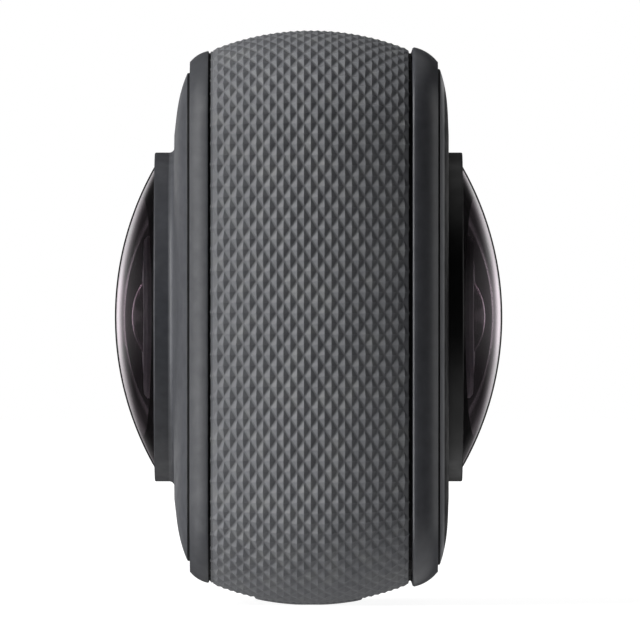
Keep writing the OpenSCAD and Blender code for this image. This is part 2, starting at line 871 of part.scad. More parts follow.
module push_button(up, r, stem_r) {
    control_side() translate([0, up, 0]) {
        translate([0, 0, flange_top]) cylinder(r = r, h = cap_top - flange_top - edge_break);
        translate([0, 0, cap_top - edge_break]) cylinder(r1 = r, r2 = r - edge_break, h = edge_break);
        translate([0, 0, flange_top - flange_t]) cylinder(r = r + flange_out, h = flange_t);
        translate([0, 0, stem_end]) cylinder(r = stem_r, h = flange_top - stem_end);
    }
}

module shutter_button() {
    color("#55565a") push_button(shutter_up, shutter_r, 1.2);
}

module power_button() {
    color("#55565a") push_button(power_up, power_r, 0.9);
}

module status_light_pipe() {
    color("#dfe6ea") control_side() translate([0, light_up, switch_board_y]) {
        cylinder(r = light_r, h = panel_crown - 0.15 - switch_board_y);
    }
}

module port_door() {
    color("#404144") control_side() difference() {
        union() {
            panel_shape(door_w / 2, hinge_up, door_top, door_floor);
            translate([-door_w / 2, hinge_up, hinge_level]) rotate([0, 90, 0]) {
                cylinder(r = knuckle_r, h = door_w);
            }
        }
        translate([-door_w, hinge_up, hinge_level]) rotate([0, 90, 0]) {
            cylinder(r = pin_r + pin_gap, h = 2 * door_w);
        }
    }
}

module door_hinge_pin() {
    color("#c4c5c7") control_side() translate([-pin_l / 2, hinge_up, hinge_level]) {
        rotate([0, 90, 0]) cylinder(r = pin_r, h = pin_l);
    }
}

module door_seal() {
    seal_low = hinge_up + knuckle_r + 0.4;
    seal_l = door_top - 0.3 - seal_low;
    color("#1c1c1d") control_side() translate([0, seal_low + seal_l / 2, door_floor - door_gasket_t]) {
        difference() {
            rounded_box([door_w - 0.6, seal_l, door_gasket_t], 0.8);
            translate([0, 0, -1]) rounded_box([door_w - 1.8, seal_l - 1.2, door_gasket_t + 2], 0.6);
        }
    }
}

// Base

module base_plate() {
    foot_rise = fall(crown_r, base_w / 2);
    color("#38393b") under_side() difference() {
        intersection() {
            translate([0, 0, outer_half]) rounded_box([base_w, base_l, band_t], 1.5);
            rotate([90, 0, 0]) translate([0, 0, -base_l]) linear_extrude(2 * base_l) polygon([
                [-base_w / 2, outer_half], [base_w / 2, outer_half], [base_w / 2, body_h / 2 - foot_rise],
                [foot_w / 2, body_h / 2], [-foot_w / 2, body_h / 2], [-base_w / 2, body_h / 2 - foot_rise]
            ]);
        }
        cylinder(r = insert_r, h = body_h);
        at_base_screws() {
            flat_screw(base_screw_r + thread_gap, screw_head + thread_gap, head_depth, band_t + 1);
            cylinder(r = screw_head + thread_gap, h = 1);
        }
    }
}

module at_base_screws() {
    for (y = [-1, 1]) translate([0, y * base_screw_y, body_h / 2 - insert_sink]) children();
}

module tripod_insert() {
    color("#c4c5c7") under_side() difference() {
        union() {
            translate([0, 0, insert_top]) cylinder(r = insert_r, h = body_h / 2 - insert_sink - insert_top);
            translate([0, 0, inner_half - collar_t]) cylinder(r = collar_r, h = collar_t);
        }
        translate([0, 0, body_h / 2 - insert_sink - tripod_depth]) {
            cylinder(r = tripod_r, h = tripod_depth + 1);
        }
    }
}

module base_plate_screws() {
    color("#b9bbbe") under_side() at_base_screws() {
        flat_screw(base_screw_r, screw_head, head_depth, band_t + frame_wall + base_boss_h - 0.8);
    }
}

grip_band();
mid_frame();
front_trim_ring();
rear_trim_ring();
front_cover();
rear_cover();
front_cover_gasket();
rear_cover_gasket();
front_lens_bezel();
rear_lens_bezel();
front_lens_dome();
rear_lens_dome();
front_lens_seal();
rear_lens_seal();
front_baffle();
rear_baffle();
front_lens_retainer();
rear_lens_retainer();
front_inner_lens();
rear_inner_lens();
front_relay_lens();
rear_relay_lens();
front_lens_barrel();
rear_lens_barrel();
front_lens_plate();
rear_lens_plate();
front_ir_filter();
rear_ir_filter();
front_image_sensor();
rear_image_sensor();
front_sensor_board();
rear_sensor_board();
front_sensor_flex();
rear_sensor_flex();
plate_screws();
flange_screws();
heat_spreader();
thermal_pads();
battery_cell();
battery_pad();
main_board();
processor_chip();
board_screws();
switch_board();
switch_flex();
shutter_switch();
power_switch();
microphones();
usb_socket();
control_panel();
shutter_button();
power_button();
status_light_pipe();
port_door();
door_hinge_pin();
door_seal();
base_plate();
tripod_insert();
base_plate_screws();
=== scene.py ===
"""Looks of a pocket 360 degree camera: knurled grip band, painted covers, glass domes and their fittings."""
import json
import math

import bmesh
import bpy
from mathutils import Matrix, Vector


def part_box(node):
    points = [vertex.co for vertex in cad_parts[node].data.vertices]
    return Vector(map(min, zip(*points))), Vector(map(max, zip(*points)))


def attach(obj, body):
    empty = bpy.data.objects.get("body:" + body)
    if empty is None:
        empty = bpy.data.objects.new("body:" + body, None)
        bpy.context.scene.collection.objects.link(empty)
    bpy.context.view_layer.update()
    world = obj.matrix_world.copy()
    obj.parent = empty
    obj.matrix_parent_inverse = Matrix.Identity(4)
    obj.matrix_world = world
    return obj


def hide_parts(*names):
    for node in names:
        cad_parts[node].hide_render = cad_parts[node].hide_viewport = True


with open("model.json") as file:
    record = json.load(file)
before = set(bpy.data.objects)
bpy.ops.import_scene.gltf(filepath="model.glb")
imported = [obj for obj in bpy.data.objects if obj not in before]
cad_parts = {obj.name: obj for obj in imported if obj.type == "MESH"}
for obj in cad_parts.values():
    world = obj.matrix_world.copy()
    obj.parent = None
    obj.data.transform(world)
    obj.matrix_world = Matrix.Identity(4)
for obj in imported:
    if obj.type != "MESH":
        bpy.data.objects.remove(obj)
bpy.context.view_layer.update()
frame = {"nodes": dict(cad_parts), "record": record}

MM = 0.001
FRONT, REAR = -1, 1

# Sizes of the body in millimetres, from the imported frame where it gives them
band_low, band_high = (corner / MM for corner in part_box("grip_band"))
HALF = (band_high.z - band_low.z) / 2
AXIS_Z = (band_high.z + band_low.z) / 2
CORNER_R = 9.8
HALF_FLAT = HALF - CORNER_R
CROWN_R = 23.9
CROWN_X = (band_high.x + band_low.x) / 2
BAND_T = 2.9
SEAT = CORNER_R - BAND_T
OUTER_HALF = HALF - BAND_T
SIDE_GAP = 0.15
PANEL_CORNER = 0.3
BASE_CORNER = 1.5
# How far a cutter stands out of what it cuts
CUT_OVER = 1
CORNER_STEPS = 28
ROUND_STEPS = 5
MERGE_M = 1e-7


def new_object(name, mesh, material, smooth_angle=35):
    """Links a mesh as a named piece with one material and smooth faces between sharp edges."""
    piece = bpy.data.objects.new(name, mesh)
    bpy.context.scene.collection.objects.link(piece)
    mesh.materials.append(material)
    mesh.shade_smooth()
    mesh.set_sharp_from_angle(angle=math.radians(smooth_angle))
    return piece


def mesh_from(name, verts, faces):
    """Makes a clean mesh with outward faces from millimetre points."""
    mesh = bpy.data.meshes.new(name)
    mesh.from_pydata([Vector(v) * MM for v in verts], [], faces)
    shape = bmesh.new()
    shape.from_mesh(mesh)
    bmesh.ops.remove_doubles(shape, verts=shape.verts, dist=MERGE_M)
    bmesh.ops.recalc_face_normals(shape, faces=shape.faces)
    shape.to_mesh(mesh)
    shape.free()
    return mesh


def soft(points):
    """Rounds the corners of a closed outline; each point is (x, y) or (x, y, radius)."""
    outline = []
    count = len(points)
    for i, point in enumerate(points):
        here = Vector(point[:2])
        radius = point[2] if len(point) > 2 else 0
        if radius == 0:
            outline.append(tuple(here))
            continue
        before = (Vector(points[i - 1][:2]) - here).normalized()
        after = (Vector(points[(i + 1) % count][:2]) - here).normalized()
        half = before.angle(after) / 2
        centre = here + (before + after).normalized() * radius / math.sin(half)
        first = here + before * radius / math.tan(half) - centre
        last = here + after * radius / math.tan(half) - centre
        swing = first.angle_signed(last)
        for k in range(ROUND_STEPS + 1):
            turn = -swing * k / ROUND_STEPS
            c, s = math.cos(turn), math.sin(turn)
            outline.append((centre.x + first.x * c - first.y * s, centre.y + first.x * s + first.y * c))
    return outline


def loop_faces(rows, columns):
    """Quads between closed rows, each of closed columns."""
    faces = []
    for i in range(rows):
        for j in range(columns):
            a, b = i * columns, (i + 1) % rows * columns
            k = (j + 1) % columns
            faces.append((a + j, b + j, b + k, a + k))
    return faces


def square_sweep(name, outline, side, material):
    """Carries a closed outline of (reach, level) round the body, on the front or the rear side."""
    verts = []
    corners = ((1, 1), (-1, 1), (-1, -1), (1, -1))
    for quarter, (y, z) in enumerate(corners):
        for k in range(CORNER_STEPS + 1):
            turn = math.radians(90) * (quarter + k / CORNER_STEPS)
            c, s = math.cos(turn), math.sin(turn)
            for reach, level in outline:
                verts.append((side * level, y * HALF_FLAT + reach * c, AXIS_Z + z * HALF_FLAT + reach * s))
    mesh = mesh_from(name, verts, loop_faces(len(corners) * (CORNER_STEPS + 1), len(outline)))
    return new_object(name, mesh, material)


def on_lens_axis(side):
    """Places points by their level along the lens axis, on the front or the rear side."""
    return lambda a, b, level: (side * level, a, AXIS_Z + b)


def on_control_side(x, up, level):
    """Places a point by its level outwards on the +Y side."""
    return x, level, AXIS_Z + up


def on_under_side(x, y, level):
    """Places a point by its level downwards under the body."""
    return x, y, AXIS_Z - level


def turned(name, outline, place, material, steps=160, middle=(0, 0), **looks):
    """Turns a closed outline of (radius, level), or one that depends on the turn, round an axis."""
    verts = []
    for k in range(steps):
        turn = 2 * math.pi * k / steps
        c, s = math.cos(turn), math.sin(turn)
        points = outline(turn) if callable(outline) else outline
        verts += [place(middle[0] + radius * c, middle[1] + radius * s, level) for radius, level in points]
    mesh = mesh_from(name, verts, loop_faces(steps, len(points)))
    return new_object(name, mesh, material, **looks)


def settle(piece, body="camera_body", nodes=()):
    """Fixes a piece to its body and hides the nodes that it stands for."""
    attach(piece, body)
    if nodes:
        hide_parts(*nodes)


# Materials


def rgb(code):
    """Linear colour of a hex code."""
    parts = [int(code[i:i + 2], 16) / 255 for i in (1, 3, 5)]
    return [p / 12.92 if p <= 0.04045 else ((p + 0.055) / 1.055) ** 2.4 for p in parts] + [1]


class Nodes:
    """The node tree of a material, world or lamp, with short ways to add and join nodes."""

    def __init__(self, owner):
        owner.use_nodes = True
        self.tree = owner.node_tree

    def fill(self, node, **values):
        """Sets a node's properties, or its inputs by name."""
        for key, value in values.items():
            if hasattr(node, key):
                setattr(node, key, value)
            else:
                node.inputs[key.replace("_", " ")].default_value = value
        return node

    def node(self, kind, **values):
        return self.fill(self.tree.nodes.new("ShaderNode" + kind), **values)

    def link(self, source, target):
        self.tree.links.new(source, target)

    def put(self, value, socket):
        """Gives an input a plain number or another node's output."""
        if isinstance(value, (int, float)):
            socket.default_value = value
        else:
            self.link(value, socket)

    def math(self, operation, *values):
        made = self.node("Math", operation=operation)
        for value, socket in zip(values, made.inputs):
            self.put(value, socket)
        return made.outputs[0]

    def axes(self, source):
        """X, Y and Z of a vector."""
        made = self.node("SeparateXYZ")
        self.link(source, made.inputs[0])
        return made.outputs

    def spread(self, source, low, high, start=0.35, end=0.65, way="LINEAR"):
        """Maps the range from start to end on to the range from low to high."""
        made = self.node("MapRange", interpolation_type=way,
                         From_Min=start, From_Max=end, To_Min=low, To_Max=high)
        self.link(source, made.inputs["Value"])
        return made.outputs["Result"]

    def ramp(self, source, stops):
        """Colours along a value, as (place, colour) stops."""
        made = self.node("ValToRGB")
        elements = made.color_ramp.elements
        while len(elements) < len(stops):
            elements.new(0.5)
        for element, (place, colour) in zip(elements, stops):
            element.position = place
            element.color = colour
        self.link(source, made.inputs["Fac"])
        return made.outputs["Color"]

    def rays(self, *kinds):
        """A value of 1 for the rays of the given kinds."""
        path = self.node("LightPath")
        value = path.outputs[f"Is {kinds[0]} Ray"]
        for kind in kinds[1:]:
            value = self.math("MAXIMUM", value, path.outputs[f"Is {kind} Ray"])
        return value

    def mix(self, factor, first, second):
        made = self.node("Mix")
        for value, name in ((factor, "Factor"), (first, "A"), (second, "B")):
            self.put(value, made.inputs[name])
        return made.outputs["Result"]


class Shader(Nodes):
    """A principled material that grows its own texture nodes."""

    def __init__(self, name, **sockets):
        self.material = bpy.data.materials.new(name)
        super().__init__(self.material)
        self.main = self.fill(self.tree.nodes["Principled BSDF"], **sockets)
        self.place = self.node("TexCoord").outputs["Object"]

    def noise(self, size, detail=3, stretch=None):
        """Noise with features of about the given size in millimetres."""
        made = self.node("TexNoise", Scale=1 / (size * MM), Detail=detail)
        source = self.place
        if stretch:
            mapping = self.node("Mapping", Scale=stretch)
            self.link(source, mapping.inputs["Vector"])
            source = mapping.outputs["Vector"]
        self.link(source, made.inputs["Vector"])
        return made.outputs["Fac"]

    def paint(self, size, *stops, stretch=None):
        """Base colour that wanders between (place, hex code) stops."""
        colours = [(place, rgb(code)) for place, code in stops]
        self.link(self.ramp(self.noise(size, 4, stretch), colours), self.main.inputs["Base Color"])

    def gloss(self, size, low, high, stretch=None):
        """Roughness that wanders between two values."""
        self.link(self.spread(self.noise(size, 3, stretch), low, high), self.main.inputs["Roughness"])

    def bump(self, size, height, stretch=None):
        """Raised grain of the given size and height in millimetres."""
        made = self.node("Bump", Distance=height * MM)
        self.link(self.noise(size, 3, stretch), made.inputs["Height"])
        self.link(made.outputs["Normal"], self.main.inputs["Normal"])


BRUSHED = (1, 1, 9)


def moulded(name, dark, mid, light, rough=(0.5, 0.62), level=0.3):
    """Fine grained plastic or rubber."""
    shade = Shader(name, Specular_IOR_Level=level)
    shade.paint(1.7, (0.3, dark), (0.5, mid), (0.72, light))
    shade.gloss(0.9, *rough)
    shade.bump(0.12, 0.006)
    return shade.material


def painted_metal(name, dark, mid, light, rough=(0.42, 0.5), level=0.3):
    """Satin paint over metal, with a very fine orange peel."""
    shade = Shader(name, Specular_IOR_Level=level)
    shade.paint(1.1, (0.3, dark), (0.5, mid), (0.7, light))
    shade.gloss(1.6, *rough)
    shade.bump(0.16, 0.002)
    return shade.material


def brushed_metal(name, dark, mid, light, rough=(0.28, 0.42)):
    """Bare metal with fine machining lines."""
    shade = Shader(name, Metallic=1.0)
    shade.paint(0.7, (0.3, dark), (0.5, mid), (0.72, light), stretch=BRUSHED)
    shade.gloss(0.35, *rough, stretch=BRUSHED)
    shade.bump(0.08, 0.0015, stretch=BRUSHED)
    return shade.material


def coated_glass(name, tint, coat, index, level=0.5, coat_index=1.6):
    """Clear optical glass under a faintly tinted hard coat."""
    shade = Shader(name, Base_Color=rgb(tint), IOR=index, Transmission_Weight=1.0, Specular_IOR_Level=level,
                   Coat_Weight=coat, Coat_Roughness=0.02, Coat_IOR=coat_index, Coat_Tint=rgb("#fff4fb"))
    shade.gloss(2.5, 0, 0.012)
    return shade.material


RUBBER = moulded("grip_rubber", "#5b5c5f", "#616265", "#676869", rough=(0.5, 0.6), level=0.25)
FRONT_RING = painted_metal("front_ring_paint", "#35363a", "#393a3d", "#3d3e41", rough=(0.5, 0.58))
# The rear ring's paint is a lighter copy of the front ring's, as painted light that makes up for the shade on
# the rear side
REAR_RING_WITH_PAINTED_LIGHT = painted_metal("rear_ring_paint_with_painted_light", "#3b3c40", "#3f4044", "#434448", rough=(0.3, 0.38), level=0.4)
FRONT_PAINT = painted_metal("front_cover_paint", "#404144", "#45464a", "#4a4b4e")
# The rear cover's paint is a lighter copy of the front cover's, as painted light that makes up for the shade
# on the rear side
REAR_PAINT_WITH_PAINTED_LIGHT = painted_metal("rear_cover_paint_with_painted_light", "#45464b", "#494a4f", "#4d4e53", rough=(0.3, 0.38), level=0.5)
REAR_PLATE = painted_metal("rear_plate_black", "#0f0f11", "#131315", "#171719", rough=(0.5, 0.6), level=0.1)
BEZEL = painted_metal("bezel_black", "#2e2f33", "#333438", "#38393d", rough=(0.4, 0.5))
# Optic black for the baffles; the same black is also painted shade on the band's seam steps and the covers'
# rims, where the gaps between parts fall into shade
OPTIC_BLACK_AND_SEAM_SHADE = moulded("optic_black", "#0a0a0b", "#0e0e0f", "#131314", rough=(0.6, 0.75), level=0.15)
EDGE_PAINT = moulded("lens_edge_paint", "#0b0b0c", "#0e0e0f", "#111112", rough=(0.6, 0.7), level=0.1)
# The rear bezel is a near-black copy of the bezel's paint, as painted shade for the rear side that the key
# lamp does not reach
REAR_BEZEL_PAINTED_SHADE = painted_metal("rear_bezel_painted_shade", "#0c0c0d", "#0f0f10", "#131314", rough=(0.34, 0.44))
# The retainer's grey is painted light: a black ring made light grey so that the inside of the lens looks lit
# through the dome
RETAINER = painted_metal("retainer_grey_painted_light", "#626264", "#68686a", "#6e6e70", rough=(0.3, 0.45))
DOME_GLASS = coated_glass("dome_glass", "#f3f0f3", 0.6, index=1.3, coat_index=1.3)
HOLLOW_GLASS = coated_glass("hollow_glass", "#f3f0f3", 0, index=1.3, level=0.04)
INNER_GLASS = coated_glass("inner_glass", "#f1f4f1", 1, index=1.85, coat_index=2.8)


# Grip band

KNURL_HIGH = 0.26
KNURL_ROUNDS = 101
KNURL_COLUMNS = 29
KNURL_WIDE = 0.63
KNURL_GROOVE = 0.045
KNURL_START = 0.37
# Share of the knurl's height over the top and on the underside, and where round a corner it eases to that
KNURL_OVER = 0.5
KNURL_UNDER = 0.55
KNURL_EASE = (0.5, 0.66)
BAND_EDGE_R = 0.14
# Steps from the knurl's edge down to the rings, as (outwards, inwards) on the front and the rear side; the
# second set of steps is painted black, as painted shade in the seams
BAND_EDGE = (((0.1, 0.04), (0.1, 0.04)), ((0.04, 0.1), (0.04, 0.1)), ((0.2, 0.02), (0, 0.02)))
BAND_SEAM_SHADE = (((0.02, 0.03), (0.02, 0.1)), ((0, 0.1), (0, 0.05)), ((0.1, 0), (0.2, 0)))


def band_point(along, across, deep):
    """Point of the band: along its girth from the middle of the -Y side, across its width, and depth."""
    tilt = across / CROWN_R
    reach = CORNER_R - CROWN_R + (CROWN_R - deep) * math.cos(tilt)
    x = CROWN_X + (CROWN_R - deep) * math.sin(tilt)
    quarter_l = 2 * HALF_FLAT + CORNER_R * math.pi / 2
    quarter, rest = divmod(along + HALF_FLAT, quarter_l)
    if rest <= 2 * HALF_FLAT:
        out, up = HALF_FLAT + reach, rest - HALF_FLAT
    else:
        turn = (rest - 2 * HALF_FLAT) / CORNER_R
        out, up = HALF_FLAT + reach * math.cos(turn), HALF_FLAT + reach * math.sin(turn)
    spin = -quarter * math.pi / 2
    y = -out * math.cos(spin) - up * math.sin(spin)
    z = -out * math.sin(spin) + up * math.cos(spin)
    return x, y, AXIS_Z + z


def knurl_share(along):
    """Share of the knurl's full height, from 1 on the upright sides to less over the top and below."""
    quarters = along / (2 * HALF_FLAT + CORNER_R * math.pi / 2) % 4
    turn = abs((quarters + 1) % 2 - 1)
    least = KNURL_OVER if quarters < 2 else KNURL_UNDER
    start, end = KNURL_EASE
    return 1 + (least - 1) * min(1, max(0, (turn - start) / (end - start)))


def knurl_cell(verts, faces, along, across, half_along, high, low_edge, high_edge):
    """One diamond: a rim at the groove's floor and a pyramid inside it, cut at the band's edges."""
    inset = 1 - KNURL_GROOVE * 2 / KNURL_WIDE
    corners = ((0, -1), (1, 0), (0, 1), (-1, 0))
    rings = []
    for share in (1, inset):
        ring = []
        for u, v in corners:
            ring.append((along + u * share * half_along, across + v * share * KNURL_WIDE, KNURL_HIGH))
        rings.append(ring)
    apex = (along, across, KNURL_HIGH - high * knurl_share(along))
    shape = []
    for i in range(4):
        k = (i + 1) % 4
        shape.append([rings[0][i], rings[0][k], rings[1][k], rings[1][i]])
        shape.append([rings[1][i], rings[1][k], apex])
    for polygon in shape:
        polygon = clip(clip(polygon, low_edge, 1), high_edge, -1)
        if len(polygon) > 2:
            faces.append(range(len(verts), len(verts) + len(polygon)))
            verts.extend(polygon)


def clip(polygon, edge, side):
    """Keeps the part of a polygon that lies inside an edge of the band."""
    kept = []
    for i, here in enumerate(polygon):
        before = polygon[i - 1]
        inside, was_inside = side * (here[1] - edge) >= 0, side * (before[1] - edge) >= 0
        if inside != was_inside:
            t = (edge - before[1]) / (here[1] - before[1])
            kept.append(tuple(b + (h - b) * t for b, h in zip(before, here)))
        if inside:
            kept.append(here)
    return kept


def body_axis(point):
    """Nearest point to a vertex on the square of corner axes."""
    y = max(-HALF_FLAT, min(HALF_FLAT, point.y / MM)) * MM
    z = max(-HALF_FLAT, min(HALF_FLAT, point.z / MM - AXIS_Z)) * MM
    return Vector((point.x, y, z + AXIS_Z * MM))


def drop_edges(shape, front, rear, finish, seat=None):
    """Extrudes the open edges of the band by (outwards, inwards) steps, or down to the seat."""
    edges = [edge for edge in shape.edges if edge.is_boundary]
    made = bmesh.ops.extrude_edge_only(shape, edges=edges)["geom"]
    for face in (item for item in made if isinstance(item, bmesh.types.BMFace)):
        face.material_index = finish
    for vert in (item for item in made if isinstance(item, bmesh.types.BMVert)):
        axis = body_axis(vert.co)
        out = vert.co - axis
        outwards, inwards = front if vert.co.x < 0 else rear
        length = seat * MM if seat else out.length - inwards * MM
        vert.co = axis + out.normalized() * length
        vert.co.x += math.copysign(outwards * MM, vert.co.x)


def prism(outline, low, high, place):
    """Closed prism over an outline; place turns (x, y, level) into a point of the body."""
    count = len(outline)
    verts = [place(x, y, level) for level in (low, high) for x, y in outline]
    faces = [range(count), range(count, 2 * count)]
    for i in range(count):
        k = (i + 1) % count
        faces.append((i, k, count + k, count + i))
    return mesh_from("cutter", verts, faces)


def carve(piece, outline, low, high, place):
    """Cuts the prism over an outline, between two levels, out of a piece for good."""
    tool = bpy.data.objects.new("cutter", prism(outline, low, high, place))
    bpy.context.scene.collection.objects.link(tool)
    cut = piece.modifiers.new("cut", "BOOLEAN")
    cut.operation = "DIFFERENCE"
    cut.solver = "EXACT"
    cut.object = tool
    bpy.context.view_layer.update()
    result = piece.evaluated_get(bpy.context.evaluated_depsgraph_get())
    mesh = bpy.data.meshes.new_from_object(result)
    piece.modifiers.clear()
    piece.data = mesh
    bpy.data.objects.remove(tool)


def box_outline(half_x, half_y, radius, mid_y=0):
    """Closed outline of a rectangle with rounded corners."""
    corners = ((-half_x, -half_y), (half_x, -half_y), (half_x, half_y), (-half_x, half_y))
    return soft([(x, y + mid_y, radius) for x, y in corners])


def grip_band():
    """Knurled band with stepped edges and seams painted black as painted shade, cut out for the panel and the
    base plate.
    """
    girth = 8 * HALF_FLAT + 2 * math.pi * CORNER_R
    pitch = girth / KNURL_ROUNDS
    low_edge = CROWN_R * math.asin((band_low.x + BAND_EDGE_R - CROWN_X) / CROWN_R)
    high_edge = CROWN_R * math.asin((band_high.x - BAND_EDGE_R - CROWN_X) / CROWN_R)
    first = -KNURL_WIDE * (KNURL_COLUMNS - 1) / 2
    verts, faces = [], []
    for column in range(-1, KNURL_COLUMNS + 1):
        across = first + column * KNURL_WIDE
        high = KNURL_HIGH if 0 <= column < KNURL_COLUMNS else 0
        for k in range(KNURL_ROUNDS):
            along = KNURL_START + (k + column % 2 / 2) * pitch
            knurl_cell(verts, faces, along, across, pitch / 2, high, low_edge, high_edge)
    mesh = mesh_from("knurled_grip_band", [band_point(*v) for v in verts], faces)
    shape = bmesh.new()
    shape.from_mesh(mesh)
    # The first set of steps keeps the rubber; the second set and the drop to the seat take the black, as
    # painted shade in the seams
    for finish, steps in enumerate((BAND_EDGE, BAND_SEAM_SHADE)):
        for front, rear in steps:
            drop_edges(shape, front, rear, finish)
    drop_edges(shape, (0, 0), (0, 0), 1, SEAT)
    bmesh.ops.bridge_loops(shape, edges=[edge for edge in shape.edges if edge.is_boundary])
    bmesh.ops.recalc_face_normals(shape, faces=shape.faces)
    shape.to_mesh(mesh)
    shape.free()
    band = new_object("knurled_grip_band", mesh, RUBBER)
    band.data.materials.append(OPTIC_BLACK_AND_SEAM_SHADE)
    panel_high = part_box("control_panel")[1] / MM
    base_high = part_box("base_plate")[1] / MM
    panel = box_outline(panel_high.x + SIDE_GAP, panel_high.z - AXIS_Z + SIDE_GAP, PANEL_CORNER)
    base = box_outline(base_high.x + SIDE_GAP, base_high.y + SIDE_GAP, BASE_CORNER + SIDE_GAP)
    for outline, place in ((panel, on_control_side), (base, on_under_side)):
        carve(band, outline, OUTER_HALF - CUT_OVER, HALF + CUT_OVER, place)
    band.data.shade_flat()
    settle(band, nodes=["grip_band"])


# Rings and covers

RING_IN = 4.4
RING_SHOULDER = 6.85
RING_BOW = math.radians(19)
RING_BOW_STEPS = 10
RING_EDGE_STEPS = 3
RING_LEDGE = 0.9
RING_GAP = 0.1
RING_CHAMFER = 0.1
RING_RIM_R = 0.07
COVER_GROOVE = 0.22
COVER_IN = 10.95
COVER_RIM = 1.3
COVER_FLAT = 0.93
COVER_BROW = 1.5
COVER_BROW_POWER = 2.5
COVER_EDGE_R = 0.14
COVER_STEPS = 24
FILLET_STEPS = 8
# Faces of a cover that are steeper than this are its rim, which is painted black as painted shade in the
# groove beside the ring, and those further out than the level are its plate
RIM_SLOPE = 0.45
PLATE_FROM = 12.45
NECK_IN = 14.08
NECK_R = 14.6
FRONT_REACH = 5.74
REAR_REACH = 6.1
BEZEL_R = 15.28
BEZEL_SEAT = 12.94
BEZEL_FACE = 14.28
POLAR_STEPS = 360


def bowed(first, last, half_angle):
    """Points on a convex arc from first to last that turns by twice the half angle."""
    a, b = Vector(first), Vector(last)
    chord = b - a
    out = Vector((chord.y, -chord.x)).normalized()
    radius = chord.length / 2 / math.sin(half_angle)
    centre = (a + b) / 2 - out * radius * math.cos(half_angle)
    points = []
    for k in range(RING_BOW_STEPS + 1):
        turn = half_angle * (2 * k / RING_BOW_STEPS - 1)
        along = chord.normalized() * math.sin(turn) + out * math.cos(turn)
        points.append(tuple(centre + along * radius))
    return points


def trim_ring(name, side, material, start, lead, edge, height, foot, cover_reach):
    """Ring with a rounded edge after its lead, a convex face and a groove beside the cover."""
    top = start + height
    ledge = start + RING_LEDGE
    rim = cover_reach + COVER_GROOVE
    outline = [(RING_IN, start), (SEAT + RING_GAP, start), (SEAT + RING_GAP, start + lead)]
    for k in range(RING_EDGE_STEPS + 1):
        turn = math.radians(90 / RING_EDGE_STEPS * k)
        outline.append((foot - edge * (1 - math.sin(turn)), start + lead + edge * (1 - math.cos(turn))))
    outline += bowed(outline[-1], (RING_SHOULDER, top - RING_CHAMFER), RING_BOW)[1:]
    outline += soft([
        (RING_SHOULDER - RING_CHAMFER, top), (rim, top, RING_RIM_R), (rim, ledge), (RING_IN, ledge),
    ])
    ring = square_sweep(name + "_body", outline, side, material)
    settle(ring, nodes=[name])


def ray_length(reach, turn):
    """Distance from the lens axis to the rounded square of a reach, along a direction."""
    c, s = abs(math.cos(turn)), abs(math.sin(turn))
    far, near = max(c, s), min(c, s)
    side = (HALF_FLAT + reach) / far
    if side * near <= HALF_FLAT:
        return side
    along = HALF_FLAT * (c + s)
    return along + math.sqrt(along * along - 2 * HALF_FLAT ** 2 + reach * reach)


def polar_shell(name, rows, side, material, **looks):
    """Closed shell of rows round the lens axis; a row is (kind, size, level), round or square."""
    verts = []
    for kind, size, level in rows:
        for k in range(POLAR_STEPS):
            turn = 2 * math.pi * (k + 0.5) / POLAR_STEPS
            length = size if kind == "round" else ray_length(size, turn)
            verts.append((side * level, length * math.cos(turn), AXIS_Z + length * math.sin(turn)))
    mesh = mesh_from(name, verts, loop_faces(len(rows), POLAR_STEPS))
    return new_object(name, mesh, material, **looks)


def cover_level(face, drop, reach, cone, out):
    """Level of a cover's face: a slight cone that ends in a rounded brow."""
    fall = cone * (out + COVER_FLAT)
    brow = drop - cone * (reach + COVER_FLAT)
    return face - fall - brow * max(0, (out - COVER_BROW) / (reach - COVER_BROW)) ** COVER_BROW_POWER


def cover(name, side, material, plate, face, drop, reach, foot, cone):
    """Dished cover with a rounded brow, a rim painted black as painted shade in the groove beside the ring,
    and a fillet where its face is below the bezel's seat.
    """
    rise = BEZEL_SEAT - face
    hole = NECK_R + SIDE_GAP
    rows = [("round", hole, COVER_IN), ("round", hole, BEZEL_SEAT), ("round", BEZEL_R, BEZEL_SEAT)]
    if rise > 0:
        for k in range(1, FILLET_STEPS + 1):
            turn = math.radians(90 * k / FILLET_STEPS)
            rows.append(("round", BEZEL_R + rise * (1 - math.cos(turn)), BEZEL_SEAT - rise * math.sin(turn)))
    for k in range(COVER_STEPS + 1):
        out = (reach - COVER_EDGE_R) * k / COVER_STEPS
        rows.append(("square", out, cover_level(face, drop, reach, cone, out)))
    brow = rows[-1][2]
    inside = reach - COVER_RIM
    rows += [("square", out, level) for out, level in (
        (reach - COVER_EDGE_R * 0.3, brow - COVER_EDGE_R * 0.35), (reach, brow - COVER_EDGE_R),
        (reach, foot), (inside, foot), (inside, COVER_IN),
    )]
    shell = polar_shell(name + "_shell", rows, side, material, smooth_angle=40)
    shell.data.materials.append(OPTIC_BLACK_AND_SEAM_SHADE)
    shell.data.materials.append(plate)
    for polygon in shell.data.polygons:
        level = abs(polygon.center.x) / MM
        # The rim's faces take the black, as painted shade where the groove beside the ring falls into shade
        if abs(polygon.normal.x) < RIM_SLOPE and level < brow - COVER_EDGE_R * 0.2:
            polygon.material_index = 1
        elif level > PLATE_FROM:
            polygon.material_index = 2
    settle(shell, nodes=[name])


# Lenses

